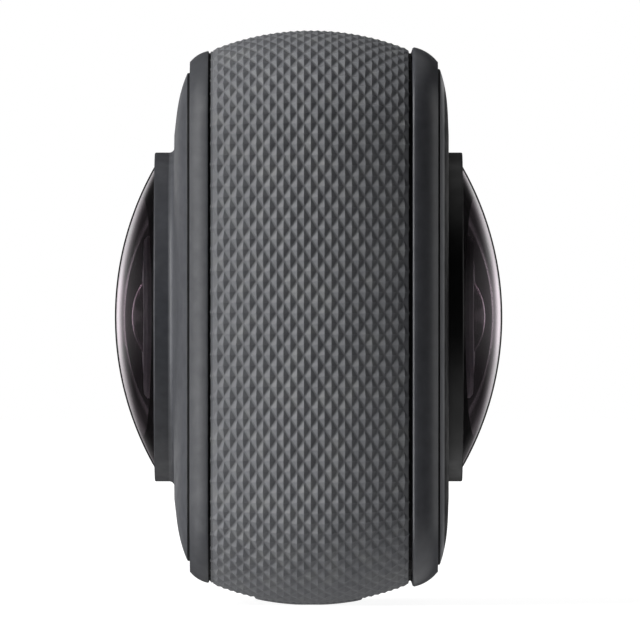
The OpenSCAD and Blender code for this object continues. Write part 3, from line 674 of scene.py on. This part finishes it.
DOME_R = 14.03
DOME_CURVE = 28.3
DOME_HOLLOW = 19.6
DOME_T = 1.8
DOME_SEAT = 13.3
DOME_TIP = BEZEL_FACE + DOME_CURVE - math.sqrt(DOME_CURVE ** 2 - DOME_R ** 2)
INNER_R = 4.2
INNER_CURVE = 5.14
INNER_OPENING = 3.6
INNER_SEAT = 0.3
INNER_EDGE = 0.9
BEZEL_GAP = 0.02
BEZEL_LIP = 0.28
BEZEL_EDGE_R = 0.14
BEZEL_BORE_R = 0.06
RETAINER_R = 7.55
RETAINER_FRONT = 13.93
RETAINER_LONG = 4
RETAINER_GAP = 0.05
RETAINER_CHAMFER = 0.35
RETAINER_LIP = 0.25
RETAINER_LIP_R = 0.1
# Groove in the retainer's face, as (distance from its opening, depth)
RETAINER_GROOVE = ((1.6, 0), (1.5, 0.12), (1.2, 0.12), (1.1, 0))
SLOT_HALF = (0.5, 0.8)
SLOT_IN = 0.6
SLOT_DEEP = 0.4
BAFFLE_BACK = 11.8
BAFFLE_SINK = 0.1
BAFFLE_GAP = 0.15
BAFFLE_IN = 1.75
BAFFLE_CHAMFER = 0.5
BAFFLE_FIRST = 2.45
BAFFLE_RINGS = 6
BAFFLE_STEP = 0.5
# One ring of the light trap, as (share of a step inwards, depth)
BAFFLE_RING = ((0, 0), (0.3, 0.14), (0.6, 0))
BAFFLE_MOUTH = (1.2, 0.7)


def arc_points(curve, tip, reach, steps):
    """Points (radius, level) on a spherical face from the reach to the axis."""
    points = []
    for k in range(steps + 1):
        radius = reach * math.cos(math.radians(90 * k / steps))
        points.append((max(radius, 0), tip - curve + math.sqrt(curve ** 2 - radius ** 2)))
    return points


def bezel(name, side, material):
    """Ring over a cover's neck, with a thin lip that holds the dome."""
    hole = NECK_R + BEZEL_GAP
    lip = BEZEL_FACE - BEZEL_LIP
    outline = soft([
        (hole, BEZEL_SEAT), (BEZEL_R, BEZEL_SEAT), (BEZEL_R, BEZEL_FACE, BEZEL_EDGE_R),
        (NECK_IN, BEZEL_FACE, BEZEL_BORE_R), (NECK_IN, lip), (hole, lip),
    ])
    settle(turned(name + "_ring", outline, on_lens_axis(side), material), nodes=[name])


def dome(name, side):
    """Dome with a hollow side; its seat and rim are blackened."""
    hollow_tip = DOME_TIP - DOME_T
    hollow_mid = hollow_tip - DOME_HOLLOW
    hollow_r = math.sqrt(DOME_HOLLOW ** 2 - (DOME_SEAT - hollow_mid) ** 2)
    outer = arc_points(DOME_CURVE, DOME_TIP, DOME_R, 40)
    inner = arc_points(DOME_HOLLOW, hollow_tip, hollow_r, 30)
    outline = [(DOME_R, DOME_SEAT)] + outer + inner[::-1]
    glass = turned(name + "_glass", outline, on_lens_axis(side), DOME_GLASS, smooth_angle=30)
    glass.data.materials.append(EDGE_PAINT)
    glass.data.materials.append(HOLLOW_GLASS)
    for face in glass.data.polygons:
        outwards = side * face.normal.x
        is_seat, is_rim = outwards < -0.999, abs(outwards) < 0.01
        if (is_seat or is_rim) and abs(face.center.x) < BEZEL_FACE * MM:
            face.material_index = 1
        elif outwards < 0:
            face.material_index = 2
    settle(glass, nodes=[name])


def inner_lens(name, side):
    """Strongly curved lens that fills the retainer's opening."""
    tip = RETAINER_FRONT - INNER_SEAT + INNER_CURVE - math.sqrt(INNER_CURVE ** 2 - INNER_OPENING ** 2)
    front = arc_points(INNER_CURVE, tip, INNER_R, 24)
    back = front[0][1] - INNER_EDGE
    outline = [(0, back), (INNER_R, back)] + front
    glass = turned(name + "_glass", outline, on_lens_axis(side), INNER_GLASS, steps=96, smooth_angle=30)
    settle(glass, nodes=[name])


def baffle(name, side):
    """Light trap round the retainer, with fine rings on its face."""
    face = DOME_SEAT - BAFFLE_SINK
    hole = RETAINER_R + BAFFLE_GAP
    rim = NECK_IN - BAFFLE_IN
    outline = [
        (hole, BAFFLE_BACK), (rim, BAFFLE_BACK), (rim, face - BAFFLE_CHAMFER), (rim - BAFFLE_CHAMFER, face),
    ]
    for k in range(BAFFLE_RINGS):
        radius = NECK_IN - BAFFLE_FIRST - k * BAFFLE_STEP
        outline += [(radius - BAFFLE_STEP * share, face - deep) for share, deep in BAFFLE_RING]
    mouth_out, mouth_deep = BAFFLE_MOUTH
    outline += [(RETAINER_R + mouth_out, face), (hole, face - mouth_deep)]
    ring = turned(name + "_rings", outline, on_lens_axis(side), OPTIC_BLACK_AND_SEAM_SHADE, smooth_angle=20)
    settle(ring, nodes=[name])


def retainer(name, side):
    """Threaded ring over the inner lens, with two slots for a spanner."""
    bore = INNER_R + RETAINER_GAP
    front, back = RETAINER_FRONT, RETAINER_FRONT - RETAINER_LONG
    groove = [(INNER_OPENING + out, front - deep) for out, deep in RETAINER_GROOVE]
    outline = soft([
        (bore, back), (RETAINER_R, back), (RETAINER_R, front - RETAINER_CHAMFER),
        (RETAINER_R - RETAINER_CHAMFER, front), *groove, (INNER_OPENING, front, RETAINER_LIP_R),
        (INNER_OPENING, front - RETAINER_LIP), (bore, front - RETAINER_LIP),
    ])
    ring = turned(name + "_ring", outline, on_lens_axis(side), RETAINER, smooth_angle=25)
    for mid in (-RETAINER_R + SLOT_IN, RETAINER_R - SLOT_IN):
        slot = box_outline(*SLOT_HALF, 0, mid)
        carve(ring, slot, front - SLOT_DEEP, front + CUT_OVER, on_lens_axis(side))
    settle(ring, nodes=[name])


# Control side

PANEL = moulded("panel_plastic", "#343537", "#38393c", "#3d3e41")
BUTTON = moulded("button_plastic", "#4f5053", "#55565a", "#5b5c60", rough=(0.42, 0.55))
LIGHT = moulded("light_plastic", "#d3dade", "#dde4e8", "#e6ecef", rough=(0.2, 0.3))
STEEL = brushed_metal("fastener_steel", "#9fa1a4", "#b0b2b5", "#bfc1c4")
INSERT_STEEL = brushed_metal("insert_steel", "#a9abad", "#b9bbbd", "#c6c8ca")
GOLD = brushed_metal("contact_gold", "#b9944a", "#c7a256", "#d4b066")
PANEL_EDGE = 0.2
CROWN_STEPS = 16
END_STEPS = 6
FLANGE_OUT = 0.55
FLANGE_T = 0.7
FLANGE_TOP = OUTER_HALF + 1.2
FLANGE_EDGE_R = 0.05
STEM_EDGE_R = 0.1
CAP_EDGE_R = 0.3
LIGHT_EDGE_R = 0.35
SLIDE_GAP = 0.15
MIC_X = 3.4
MIC_MARGIN = 2.4
MIC_R = 0.4
OPENING_MARGIN = 1
OPENING_CORNER = 0.1
KNUCKLE_R = 1.05
KNUCKLE_GAP = 0.06
KNUCKLE_EDGE_R = 0.12
DOOR_T = 2.2
DOOR_EDGE = 0.25
RIBS = 3
RIB_FIRST = 1.1
RIB_STEP = 0.6
RIB_HALF = (2.4, 0.16)
RIB_SINK = 0.5
RIB_HIGH = 0.08
RIB_CORNER = 0.12
COLLAR_WIDE = 0.4
COLLAR_HIGH = 0.06
COLLAR_DEEP = 1
COLLAR_OUTER_R = 0.1
COLLAR_INNER_R = 0.08
CONTACTS = 12
CONTACT_STEP = 0.5
CONTACT_HALF = 0.12
# Range of the contacts in depth, and in distance from the middle of the tongue
CONTACT_DEEP = (2.6, 1.0)
CONTACT_OFF = (0.3, 0.38)
BOX_FACES = ((0, 1, 2, 3), (4, 5, 6, 7), (0, 1, 5, 4), (1, 2, 6, 5), (2, 3, 7, 6), (3, 0, 4, 7))


def node_box(name):
    """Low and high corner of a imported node, in millimetres."""
    low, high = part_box(name)
    return low / MM, high / MM


def crowned_outline(half_w, floor, crown, edge):
    """Cross-section (x, level) of a plate whose face follows the crown of the band."""
    outline = [(-half_w, floor)]
    for k in range(CROWN_STEPS + 1):
        x = half_w * (2 * k / CROWN_STEPS - 1)
        level = crown - CROWN_R + math.sqrt(CROWN_R ** 2 - (x - CROWN_X) ** 2)
        outline.append((x, min(HALF, level), edge if k in (0, CROWN_STEPS) else 0))
    return soft(outline + [(half_w, floor)])


def crowned_plate(name, half_w, low, high, floor, crown, material, place,
                  edge=PANEL_EDGE, corner=PANEL_CORNER):
    """Plate with a crowned face, rounded edges and rounded corners, between two ends."""
    ends = []
    for k in range(END_STEPS + 1):
        inset = max(edge, corner) * (1 - math.cos(math.radians(90 / END_STEPS * k)))
        drop = edge - math.sqrt(edge ** 2 - max(0, edge - inset) ** 2)
        ends.append((inset, drop, corner - math.sqrt(corner ** 2 - max(0, corner - inset) ** 2)))
    sections = [(low + inset, drop, narrow) for inset, drop, narrow in ends]
    sections += [(high - inset, drop, narrow) for inset, drop, narrow in reversed(ends)]
    verts = []
    for up, drop, narrow in sections:
        outline = crowned_outline(half_w - narrow, floor, crown, edge)
        verts += [place(x, up, max(floor, level - drop)) for x, level in outline]
    count = len(outline)
    faces = loop_faces(len(sections), count)[:-count]
    faces += [range(count), range(len(verts) - count, len(verts))]
    return new_object(name, mesh_from(name, verts, faces), material)


def circle_outline(x, y, radius, steps=48):
    turns = [2 * math.pi * k / steps for k in range(steps)]
    return [(x + radius * math.cos(turn), y + radius * math.sin(turn)) for turn in turns]


def control_panel():
    """Panel with holes for the buttons, the light and the microphones, and an opening for the door."""
    low, high = node_box("control_panel")
    bottom, top = low.z - AXIS_Z, high.z - AXIS_Z
    plate = crowned_plate("control_panel_plate", high.x, bottom, top, low.y, high.y, PANEL, on_control_side)
    cuts = []
    flanges = {"shutter_button": FLANGE_OUT, "power_button": FLANGE_OUT, "status_light_pipe": 0}
    for name, flange in flanges.items():
        part_low, part_high = node_box(name)
        up = (part_low.z + part_high.z) / 2 - AXIS_Z
        radius = (part_high.x - part_low.x) / 2 - flange + SLIDE_GAP
        cuts.append(circle_outline(0, up, radius))
        if flange:
            collar(name + "_collar", up, radius, high.y)
    cuts += [circle_outline(x, top - MIC_MARGIN, MIC_R, 24) for x in (-MIC_X, MIC_X)]
    door_high = node_box("port_door")[1]
    opening_low, opening_high = bottom + OPENING_MARGIN, door_high.z - AXIS_Z + SIDE_GAP
    half_l, middle = (opening_high - opening_low) / 2, (opening_low + opening_high) / 2
    cuts.append(box_outline(door_high.x + SIDE_GAP, half_l, OPENING_CORNER, middle))
    for outline in cuts:
        carve(plate, outline, low.y - CUT_OVER, HALF + CUT_OVER, on_control_side)
    settle(plate, nodes=["control_panel"])


def collar(name, up, radius, crown):
    """Fine raised ring round a button's hole."""
    outer = radius + COLLAR_WIDE
    foot, top = crown - COLLAR_DEEP, crown + COLLAR_HIGH
    outline = soft([
        (radius, foot), (outer, foot), (outer, top, COLLAR_OUTER_R), (radius, top, COLLAR_INNER_R),
    ])
    ring = turned(name, outline, on_control_side, PANEL, steps=72, middle=(0, up))
    for vert in ring.data.vertices:
        vert.co.y -= (CROWN_R - math.sqrt(CROWN_R ** 2 - (vert.co.x / MM - CROWN_X) ** 2)) * MM
    settle(ring)


def push_button(name, stem_r, crown_points):
    """Button with a flange and a stem; the face is given as (share of the radius, depth)."""
    low, high = node_box(name)
    flange_r = (high.x - low.x) / 2
    flange_low = FLANGE_TOP - FLANGE_T
    cap_r = flange_r - FLANGE_OUT
    outline = [
        (0, low.y), (stem_r, low.y, STEM_EDGE_R), (stem_r, flange_low), (flange_r, flange_low, FLANGE_EDGE_R),
        (flange_r, FLANGE_TOP, FLANGE_EDGE_R), (cap_r, FLANGE_TOP), (cap_r, high.y, CAP_EDGE_R),
    ]
    outline += [(cap_r * share, high.y - deep) for share, deep in crown_points]
    middle = (0, (low.z + high.z) / 2 - AXIS_Z)
    cap = turned(name + "_cap", soft(outline), on_control_side, BUTTON,
                 steps=96, middle=middle, smooth_angle=25)
    settle(cap, body=name, nodes=[name])


def status_light():
    low, high = node_box("status_light_pipe")
    outline = soft([(0, low.y), (high.x, low.y), (high.x, high.y, LIGHT_EDGE_R), (0, high.y)])
    middle = (0, (low.z + high.z) / 2 - AXIS_Z)
    pipe = turned("status_light_lens", outline, on_control_side, LIGHT, steps=48, middle=middle)
    settle(pipe, nodes=["status_light_pipe"])


def port_door():
    """Door leaf with a knuckle round its hinge pin, and ribs for a fingertip."""
    low, high = node_box("port_door")
    pin_low, pin_high = node_box("door_hinge_pin")
    hinge_up, hinge_level = (pin_low.z + pin_high.z) / 2 - AXIS_Z, (pin_low.y + pin_high.y) / 2
    top = high.z - AXIS_Z
    crown = node_box("control_panel")[1].y
    leaf = crowned_plate("port_door_leaf", high.x, hinge_up, top, crown - DOOR_T, crown, PANEL,
                         on_control_side, edge=DOOR_EDGE)
    settle(leaf, body="port_door", nodes=["port_door"])
    bore = (pin_high.y - pin_low.y) / 2 + KNUCKLE_GAP
    outline = soft([
        (bore, low.x), (KNUCKLE_R, low.x, KNUCKLE_EDGE_R),
        (KNUCKLE_R, high.x, KNUCKLE_EDGE_R), (bore, high.x),
    ])
    knuckle = turned("port_door_knuckle", outline, lambda level, up, x: (x, level, up + AXIS_Z), PANEL,
                     steps=48, middle=(hinge_level, hinge_up))
    settle(knuckle, body="port_door")
    half_w, half_l = RIB_HALF
    for k in range(RIBS):
        up = top - RIB_FIRST - RIB_STEP * k
        rib = crowned_plate(f"port_door_rib_{k + 1}", half_w, up - half_l, up + half_l, crown - RIB_SINK,
                            crown + RIB_HIGH, PANEL, on_control_side, edge=RIB_HIGH, corner=RIB_CORNER)
        settle(rib, body="port_door")


def socket_contacts():
    """Gold contacts on both faces of the charging socket's tongue."""
    low, high = node_box("usb_socket")
    up = (low.z + high.z) / 2 - AXIS_Z
    near, far = CONTACT_OFF
    corners = ((-CONTACT_HALF, near), (CONTACT_HALF, near), (CONTACT_HALF, far), (-CONTACT_HALF, far))
    verts, faces = [], []
    for side in (-1, 1):
        for k in range(CONTACTS):
            x = (k - (CONTACTS - 1) / 2) * CONTACT_STEP
            start = len(verts)
            for deep in CONTACT_DEEP:
                verts += [on_control_side(x + dx, up + side * dz, high.y - deep) for dx, dz in corners]
            faces += [[start + i for i in face] for face in BOX_FACES]
    contacts = new_object("socket_contacts", mesh_from("socket_contacts", verts, faces), GOLD)
    settle(contacts)


# Base

BASE_EDGE = 0.3
BASE_CROWN = 0.03
THREAD_PITCH = 1.27
THREAD_DEEP = 0.5
THREAD_ROWS = 60
THREAD_LEAD = 6
SCREW_R = 1.0
SCREW_TIP_R = 0.8
SCREW_TIP = 0.3
SCREW_HEAD_R = 1.75
SCREW_HEAD_DEEP = 0.9
SCREW_EDGE_R = 0.06
SCREW_GAP = 0.08
RECESS_HALF = 0.22
RECESS_REACH = 1.0
RECESS_DEEP = 0.5
INSERT_R = 4.0
INSERT_GAP = 0.05
INSERT_CHAMFER = 0.2
INSERT_BORE = 2.55
INSERT_DEEP = 6.2
INSERT_COLLAR_R = 5.0
INSERT_COLLAR_T = 1.2
INNER_HALF = OUTER_HALF - 1.5


def screw_places():
    """Y of the middle of each screw."""
    low, high = node_box("base_plate_screws")
    return low.y + SCREW_HEAD_R, high.y - SCREW_HEAD_R


def base_plate():
    """Foot with holes for the tripod insert and for the heads of its screws."""
    low, high = node_box("base_plate")
    plate = crowned_plate("base_plate_foot", high.x, low.y, high.y, OUTER_HALF, HALF + BASE_CROWN, RUBBER,
                          on_under_side, edge=BASE_EDGE, corner=BASE_CORNER)
    holes = [(0, INSERT_R + INSERT_GAP)] + [(y, SCREW_HEAD_R + SCREW_GAP) for y in screw_places()]
    for y, radius in holes:
        carve(plate, circle_outline(0, y, radius), OUTER_HALF - CUT_OVER, HALF + CUT_OVER, on_under_side)
    settle(plate, nodes=["base_plate"])


def tripod_insert():
    """Insert with a modelled thread in its blind bore."""
    low, high = node_box("tripod_insert")
    face, back = AXIS_Z - low.z, AXIS_Z - high.z
    floor = face - INSERT_DEEP
    collar_back = INNER_HALF - INSERT_COLLAR_T

    def outline(turn):
        points = [(0, floor), (INSERT_BORE, floor)]
        for k in range(1, THREAD_ROWS):
            level = floor + INSERT_DEEP * k / THREAD_ROWS
            wave = (level / THREAD_PITCH + turn / (2 * math.pi)) % 1
            cut = THREAD_DEEP * min(1, max(0, 1.4 - abs(2 * wave - 1) * 1.8))
            mouth = max(0, level - face + THREAD_DEEP)
            points.append((INSERT_BORE + max(cut * min(1, k / THREAD_LEAD), mouth), level))
        return points + [
            (INSERT_BORE + THREAD_DEEP, face), (INSERT_R - INSERT_CHAMFER, face),
            (INSERT_R, face - INSERT_CHAMFER), (INSERT_R, INNER_HALF), (INSERT_COLLAR_R, INNER_HALF),
            (INSERT_COLLAR_R, collar_back), (INSERT_R, collar_back), (INSERT_R, back), (0, back),
        ]

    insert = turned("tripod_insert_thread", outline, on_under_side, INSERT_STEEL, steps=72)
    settle(insert, nodes=["tripod_insert"])


def base_screws():
    """Countersunk screws with cross recesses."""
    low, high = node_box("base_plate_screws")
    face, tip = AXIS_Z - low.z, AXIS_Z - high.z
    outline = soft([
        (0, tip), (SCREW_TIP_R, tip), (SCREW_R, tip + SCREW_TIP), (SCREW_R, face - SCREW_HEAD_DEEP),
        (SCREW_HEAD_R, face, SCREW_EDGE_R), (0, face),
    ])
    a, b = RECESS_HALF, RECESS_REACH
    cross = [(a, b), (a, a), (b, a), (b, -a), (a, -a), (a, -b)]
    cross += [(-x, -y) for x, y in cross]
    for word, y in zip(("near", "far"), screw_places()):
        screw = turned("base_screw_" + word, outline, on_under_side, STEEL, steps=48, middle=(0, y))
        recess = [(x, y + off) for x, off in cross]
        carve(screw, recess, face - RECESS_DEEP, face + CUT_OVER, on_under_side)
        settle(screw, nodes=["base_plate_screws"] if word == "near" else ())


grip_band()
trim_ring("front_trim_ring", FRONT, FRONT_RING,
          start=9, lead=0.18, edge=0.05, height=1.9, foot=7.76, cover_reach=FRONT_REACH)
trim_ring("rear_trim_ring", REAR, REAR_RING_WITH_PAINTED_LIGHT,
          start=9.5, lead=0.03, edge=0.22, height=2.4, foot=8.1, cover_reach=REAR_REACH)
cover("front_cover", FRONT, FRONT_PAINT, FRONT_PAINT,
      face=12.45, drop=1.33, reach=FRONT_REACH, foot=10.05, cone=0.115)
cover("rear_cover", REAR, REAR_PAINT_WITH_PAINTED_LIGHT, REAR_PLATE,
      face=BEZEL_SEAT, drop=0.86, reach=REAR_REACH, foot=10.55, cone=0.04)
for word, side, trim in (("front", FRONT, BEZEL), ("rear", REAR, REAR_BEZEL_PAINTED_SHADE)):
    bezel(word + "_lens_bezel", side, trim)
    dome(word + "_lens_dome", side)
    inner_lens(word + "_inner_lens", side)
    baffle(word + "_baffle", side)
    retainer(word + "_lens_retainer", side)
control_panel()
push_button("shutter_button", stem_r=1.2,
            crown_points=((0.84, 0), (0.81, 0.1), (0.77, 0.1), (0.74, 0.02), (0.4, 0.12), (0, 0.16)))
push_button("power_button", stem_r=0.9,
            crown_points=((0.7, 0.02), (0.6, 0.12), (0.26, 0.14), (0.2, 0.02), (0, 0.01)))
status_light()
port_door()
socket_contacts()
base_plate()
tripod_insert()
base_screws()


# Looks of the pieces that keep their CAD shape

SLOT_LOOKS = {
    "frame_plastic": moulded("frame_plastic", "#2e2f31", "#343537", "#3a3b3d"),
    "seal_rubber": moulded("seal_rubber", "#0f0f10", "#141415", "#19191a", rough=(0.6, 0.75)),
    "plate_aluminium": brushed_metal("plate_aluminium", "#8a8d91", "#9a9da1", "#a7a9ac"),
    "board_laminate": moulded("board_laminate", "#174a31", "#1d5539", "#236042", rough=(0.3, 0.45)),
    "chip_plastic": moulded("chip_plastic", "#1a1b1c", "#202122", "#262728"),
    "ribbon": moulded("ribbon_film", "#a37a2a", "#b3852f", "#c29238", rough=(0.3, 0.4)),
    "fastener_steel": STEEL,
    "cell_foil": brushed_metal("cell_foil", "#a6a8aa", "#b4b6b8", "#c0c2c4", rough=(0.35, 0.5)),
    "panel_plastic": PANEL,
    "button_plastic": BUTTON,
    "light_plastic": LIGHT,
    "socket_steel": brushed_metal("socket_steel", "#b5b7b9", "#c4c5c7", "#d0d1d3"),
    "insert_steel": INSERT_STEEL,
    "optic_black": OPTIC_BLACK_AND_SEAM_SHADE,
    "lens_glass": INNER_GLASS,
    "grip_rubber": RUBBER,
    "bezel_metal": BEZEL,
    "ring_metal": FRONT_RING,
    "cover_metal": FRONT_PAINT,
}
NODE_LOOKS = {"front_lens_retainer": RETAINER, "rear_lens_retainer": RETAINER}


def dress_nodes():
    """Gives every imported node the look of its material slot, or its own."""
    for subpart in frame["record"]["subparts"]:
        name = subpart["node"]
        look = NODE_LOOKS.get(name, SLOT_LOOKS[subpart["material_slot"]])
        mesh = frame["nodes"][name].data
        mesh.materials.clear()
        mesh.materials.append(look)


dress_nodes()


# Stage, light and camera

CAMERA_X = 1.06
CAMERA_Z = 26.22
CAMERA_LENS = 1000
CAMERA_SENSOR = 36
CAMERA_REACH_M = 20
VIEW_WIDE = 59.46
AMBIENT = 0.015
FLOOR_GREY = 0.22
FLOOR_HALF = 3000
# Glow of the floor to the camera, and its local light on the underside, near the body and far from it (m)
FLOOR_GLOW = 0.92
FLOOR_NEAR = 0.1
FLOOR_FAR = 0.8
BOUNCE = 0.55
BOUNCE_NEAR = 0.03
BOUNCE_FAR = 0.12
LAMP_RIM = 0.3
# Brightness of the backdrop as metal and glass see it, by how far a direction points to the back
CARDS = (
    (0, 0.06), (0.4, 0.08), (0.7, 0.1), (0.86, 0.14), (0.905, 0.38),
    (0.935, 0.85), (0.952, 1), (0.972, 1), (0.981, 0.015),
)
# The backdrop fades with the height of a direction above or below its middle, and glows again from far below
CARD_MID = 0.022
CARD_PLAIN = 0.05
CARD_TALL = 0.165
CARD_FADE = 0.1
UNDER_START = -0.4
UNDER_FULL = -0.8
UNDER_GLOW = 0.9
MIRRORED = ("Glossy", "Transmission")


def white_world():
    """White to the camera, dim to matt faces, and a bright backdrop to glossy and clear ones."""
    world = bpy.data.worlds.new("studio")
    nodes = Nodes(world)
    axes = nodes.axes(nodes.node("TexCoord").outputs["Generated"])
    cards = nodes.ramp(axes["Y"], [(facing, (level, level, level, 1)) for facing, level in CARDS])
    height = nodes.math("ABSOLUTE", nodes.math("SUBTRACT", axes["Z"], CARD_MID))
    fade = nodes.spread(height, 1, CARD_FADE, CARD_PLAIN, CARD_TALL, "SMOOTHSTEP")
    under = nodes.spread(axes["Z"], AMBIENT, UNDER_GLOW, UNDER_START, UNDER_FULL)
    backdrop = nodes.math("MAXIMUM", nodes.math("MULTIPLY", cards, fade), under)
    light = nodes.mix(nodes.rays(*MIRRORED), AMBIENT, backdrop)
    background = nodes.fill(nodes.tree.nodes["Background"], Color=(1, 1, 1, 1))
    nodes.link(nodes.math("MAXIMUM", light, nodes.rays("Camera")), background.inputs["Strength"])
    bpy.context.scene.world = world


def floor_material():
    """Pale floor that glows a little and that glossy and clear faces see through."""
    shade = Shader("pale_floor", Base_Color=(FLOOR_GREY, FLOOR_GREY, FLOOR_GREY, 1), Roughness=1,
                   Specular_IOR_Level=0, Emission_Color=(1, 1, 1, 1))
    length = shade.node("VectorMath", operation="LENGTH")
    shade.link(shade.place, length.inputs[0])
    distance = length.outputs["Value"]
    glow = shade.spread(distance, FLOOR_GLOW, 1, FLOOR_NEAR, FLOOR_FAR)
    bounce = shade.spread(distance, BOUNCE, 0, BOUNCE_NEAR, BOUNCE_FAR)
    shade.link(shade.mix(shade.rays("Camera"), bounce, glow), shade.main.inputs["Emission Strength"])
    blend = shade.node("MixShader")
    shade.link(shade.rays(*MIRRORED), blend.inputs["Fac"])
    shade.link(shade.main.outputs["BSDF"], blend.inputs[1])
    shade.link(shade.node("BsdfTransparent").outputs["BSDF"], blend.inputs[2])
    shade.link(blend.outputs["Shader"], shade.tree.nodes["Material Output"].inputs["Surface"])
    return shade.material


def floor():
    corners = [(x * FLOOR_HALF, y * FLOOR_HALF, 0) for x, y in ((-1, -1), (1, -1), (1, 1), (-1, 1))]
    new_object("floor", mesh_from("floor", corners, [(0, 1, 2, 3)]), floor_material())


def soften_lamp(data):
    """Fades a lamp's light towards its rim, as a cloth diffuser does."""
    nodes = Nodes(data)
    axes = nodes.axes(nodes.node("NewGeometry").outputs["Parametric"])
    rims = []
    for axis in "XY":
        from_rim = nodes.math("PINGPONG", axes[axis], 0.5)
        rims.append(nodes.spread(from_rim, 0, 1, 0, LAMP_RIM, "SMOOTHSTEP"))
    nodes.link(nodes.math("MULTIPLY", *rims), nodes.tree.nodes["Emission"].inputs["Strength"])


def lamp(name, turn, rise, distance, wide, tall, power, glossy=True):
    """Soft lamp aimed at the body; turn is from the camera's side, to the right, and rise is upwards."""
    data = bpy.data.lights.new(name, "AREA")
    data.shape = "RECTANGLE"
    data.size = wide
    data.size_y = tall
    data.energy = power
    soften_lamp(data)
    a, b = math.radians(turn), math.radians(rise)
    offset = Vector((math.sin(a) * math.cos(b), -math.cos(a) * math.cos(b), math.sin(b))) * distance
    piece = bpy.data.objects.new(name, data)
    piece.visible_transmission = False
    piece.visible_glossy = glossy
    piece.location = Vector((0, 0, AXIS_Z * MM)) + offset
    piece.rotation_euler = (-offset).to_track_quat("-Z", "Y").to_euler()
    bpy.context.scene.collection.objects.link(piece)


def camera():
    data = bpy.data.cameras.new("camera")
    data.lens = CAMERA_LENS
    data.sensor_width = CAMERA_SENSOR
    data.clip_end = CAMERA_REACH_M
    piece = bpy.data.objects.new("camera", data)
    distance = VIEW_WIDE * CAMERA_LENS / CAMERA_SENSOR
    piece.location = Vector((CAMERA_X, -distance, CAMERA_Z)) * MM
    piece.rotation_euler = (math.radians(90), 0, 0)
    bpy.context.scene.collection.objects.link(piece)
    bpy.context.scene.camera = piece


white_world()
floor()
lamp("key", turn=-64, rise=5, distance=1.2, wide=1.1, tall=3.4, power=120)
lamp("rim", turn=98, rise=4, distance=1.2, wide=1.1, tall=1.8, power=8)
lamp("top", turn=180, rise=78, distance=1.5, wide=2.8, tall=2.8, power=12)
lamp("back", turn=165, rise=9, distance=1.5, wide=2.2, tall=2.2, power=42, glossy=False)
camera()
bpy.context.scene.view_settings.view_transform = "Standard"
